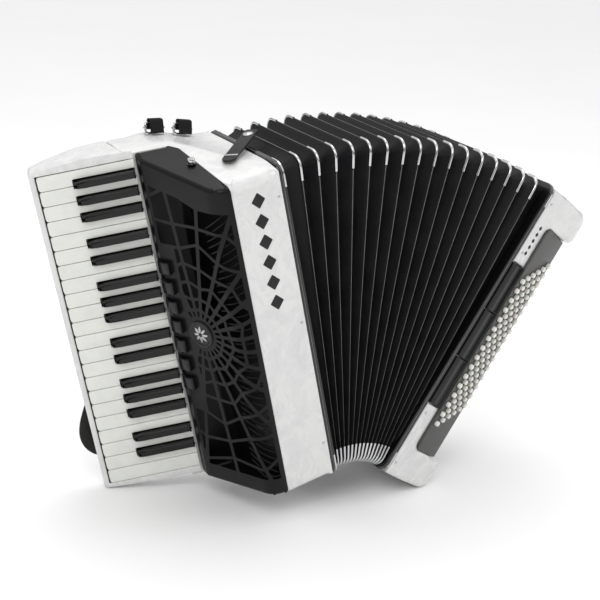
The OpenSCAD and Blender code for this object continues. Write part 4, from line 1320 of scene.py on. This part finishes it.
def studio_air(strength):
    """Even white behind everything, and light that grows from dim below to full overhead."""
    world = bpy.data.worlds.new("studio_air")
    world.use_nodes = True
    nodes, links = world.node_tree.nodes, world.node_tree.links
    height = nodes.new("ShaderNodeSeparateXYZ")
    links.new(nodes.new("ShaderNodeTexCoord").outputs["Generated"], height.inputs[0])
    rise = nodes.new("ShaderNodeValToRGB")
    for position, value in ((DIM_END, DIM), (BRIGHT_START, 1.0)):
        rise.color_ramp.elements.new(position).color = (value, value, value, 1)
    rise.color_ramp.elements[0].color = (DIM, DIM, DIM, 1)
    rise.color_ramp.elements[-1].color = (1, 1, 1, 1)
    lift = nodes.new("ShaderNodeMath")
    lift.operation = "MULTIPLY_ADD"
    lift.inputs[1].default_value = lift.inputs[2].default_value = 0.5
    links.new(height.outputs["Z"], lift.inputs[0])
    links.new(lift.outputs[0], rise.inputs["Fac"])
    seen = nodes.new("ShaderNodeMix")
    seen.data_type = "RGBA"
    seen.inputs[7].default_value = (BACKDROP, BACKDROP, BACKDROP, 1)
    links.new(nodes.new("ShaderNodeLightPath").outputs["Is Camera Ray"], seen.inputs[0])
    links.new(rise.outputs["Color"], seen.inputs[6])
    links.new(seen.outputs[2], nodes["Background"].inputs["Color"])
    nodes["Background"].inputs["Strength"].default_value = strength
    return world


def build_stage(context):
    """Floor, air, three lamps and the camera."""
    scene = context.scene
    h = FLOOR_HALF
    mesh = bpy.data.meshes.new("studio_floor")
    mesh.from_pydata([(-h, -h, 0), (h, -h, 0), (h, h, 0), (-h, h, 0)], [], [(0, 1, 2, 3)])
    mesh.materials.append(finish("floor"))
    floor = bpy.data.objects.new("studio_floor", mesh)
    scene.collection.objects.link(floor)
    scene.world = studio_air(scene.accordion_stage.air)
    scene.view_settings.view_transform = "Standard"
    for name, place, aim, size, power in LAMPS:
        data = bpy.data.lights.new(name, "AREA")
        data.size, data.energy = size, power
        lamp = bpy.data.objects.new(name, data)
        lamp.location = place
        lamp.rotation_euler = (Vector(aim) - Vector(place)).to_track_quat("-Z", "Y").to_euler()
        scene.collection.objects.link(lamp)
    data = bpy.data.cameras.new("camera")
    data.lens, data.sensor_width = CAMERA_LENS, SENSOR
    data.clip_end = 30
    camera = bpy.data.objects.new("camera", data)
    forward = Vector(CAMERA_AHEAD).normalized()
    up = Vector(CAMERA_RIGHT).normalized().cross(forward).normalized()
    rows = Matrix((forward.cross(up), up, -forward)).transposed()
    camera.matrix_world = Matrix.Translation(CAMERA_AT) @ rows.to_4x4()
    scene.collection.objects.link(camera)
    scene.camera = camera


# ---------- Add-on ----------


def shade_of(name, description, default):
    """A colour that the user can change."""
    return FloatVectorProperty(name=name, description=description, subtype="COLOR", size=3, min=0, max=1,
                               default=default)


def length_of(name, description, millimetres):
    """A length in metres that the user can change."""
    return FloatProperty(name=name, description=description, default=millimetres * MM, min=0,
                         unit="LENGTH", subtype="DISTANCE")


class ACCORDION_PG_colours(bpy.types.PropertyGroup):
    ivory: shade_of("Ivory", "Key tops and bass buttons", (0.76, 0.75, 0.705))
    lacquer: shade_of("Lacquer", "Bellows frames and other polished black", (0.005, 0.005, 0.0055))
    metal: shade_of("Metal", "Plated guards, brackets, wheel and screws", (0.6, 0.6, 0.61))
    pearl_pale: shade_of("Pale pearl", "Light parts of the pearl", (0.71, 0.71, 0.70))
    pearl_deep: shade_of("Deep pearl", "Dark clouds of the pearl", (0.60, 0.605, 0.605))


class ACCORDION_PG_sizes(bpy.types.PropertyGroup):
    guard_wall: length_of("Guard wall", "Thickness of the folds' corner guards", 0.4)
    strap_bow: length_of("Strap bow", "How far the hand strap stands off the bass case", 21.0)
    button_height: length_of("Button height", "Straight part of a bass button over the plate", 3.3)
    button_dome: length_of("Button dome", "Height of a bass button's domed end", 2.4)
    rocker_gap: length_of("Rocker gap", "Space between two treble registers", 8.8)


class ACCORDION_PG_stage(bpy.types.PropertyGroup):
    air: FloatProperty(name="Air", description="Strength of the even light all round", default=0.95, min=0)


def operator(name, label, doc, builder):
    """An operator class that runs one builder."""

    def execute(self, context):
        builder(context)
        return {"FINISHED"}

    return type("ACCORDION_OT_" + name, (bpy.types.Operator,), {
        "__doc__": doc, "bl_idname": "accordion." + name, "bl_label": label,
        "bl_options": {"REGISTER", "UNDO"}, "execute": execute})


STEPS = [
    ("stage", "Stage", "Floor, lights and camera", build_stage),
    ("treble_case", "Treble case", "Pearl shell of the treble side", build_treble_case),
    ("keyboard_frame", "Keyboard frame", "Cheeks, rail and back cover of the keyboard", build_keyboard_frame),
    ("keys", "Keys", "White and black keys", build_keys),
    ("grille", "Grille", "Cover with its web of windows", build_grille),
    ("registers", "Registers", "Treble register rockers", build_registers),
    ("badge", "Badge", "Rosette in the middle of the grille", build_badge),
    ("grille_screws", "Grille screws", "Knurled screws of the grille", build_grille_screws),
    ("bellows", "Bellows", "Cloth folds that follow the fan", build_bellows),
    ("corner_guards", "Corner guards", "Chromed guards on the folds", build_corner_guards),
    ("end_frames", "End frames", "Lacquered frames at the bellows' ends", build_end_frames),
    ("bass_case", "Bass case", "Pearl shell of the bass side", build_bass_case),
    ("button_plate", "Button plate", "Grey plate with its collars", build_button_plate),
    ("buttons", "Buttons", "Bass buttons", build_buttons),
    ("bass_registers", "Bass registers", "Three register bars", build_bass_registers),
    ("hand_strap", "Hand strap", "Leather strap of the left hand", build_hand_strap),
    ("bass_hardware", "Bass hardware", "Strap wheel and air button", build_bass_hardware),
    ("strap_brackets", "Strap brackets", "Chromed brackets and rings", build_strap_brackets),
    ("straps", "Straps", "Webbing loops and the bellows strap", build_straps),
    ("ornaments", "Ornaments", "Plain inlays on both bands", build_ornaments),
]
OPERATORS = [operator(*step) for step in STEPS]


class ACCORDION_PT_panel(bpy.types.Panel):
    """Lists the accordion's pieces in the sidebar"""
    bl_label = "Piano accordion"
    bl_idname = "ACCORDION_PT_panel"
    bl_space_type = "VIEW_3D"
    bl_region_type = "UI"
    bl_category = "Accordion"

    def draw(self, context):
        for group in GROUPS:
            for setting in GROUPS[group].__annotations__:
                self.layout.prop(getattr(context.scene, group), setting)
        for step in STEPS:
            self.layout.operator("accordion." + step[0])


GROUPS = {"accordion_stage": ACCORDION_PG_stage, "accordion_colours": ACCORDION_PG_colours,
          "accordion_sizes": ACCORDION_PG_sizes}
CLASSES = list(GROUPS.values()) + OPERATORS + [ACCORDION_PT_panel]


def register():
    for cls in CLASSES:
        bpy.utils.register_class(cls)
    for group, cls in GROUPS.items():
        setattr(bpy.types.Scene, group, PointerProperty(type=cls))


def unregister():
    for group in GROUPS:
        delattr(bpy.types.Scene, group)
    for cls in reversed(CLASSES):
        bpy.utils.unregister_class(cls)


def main():
    register()
    for step in STEPS:
        getattr(bpy.ops.accordion, step[0])()


if __name__ == "__main__":
    main()
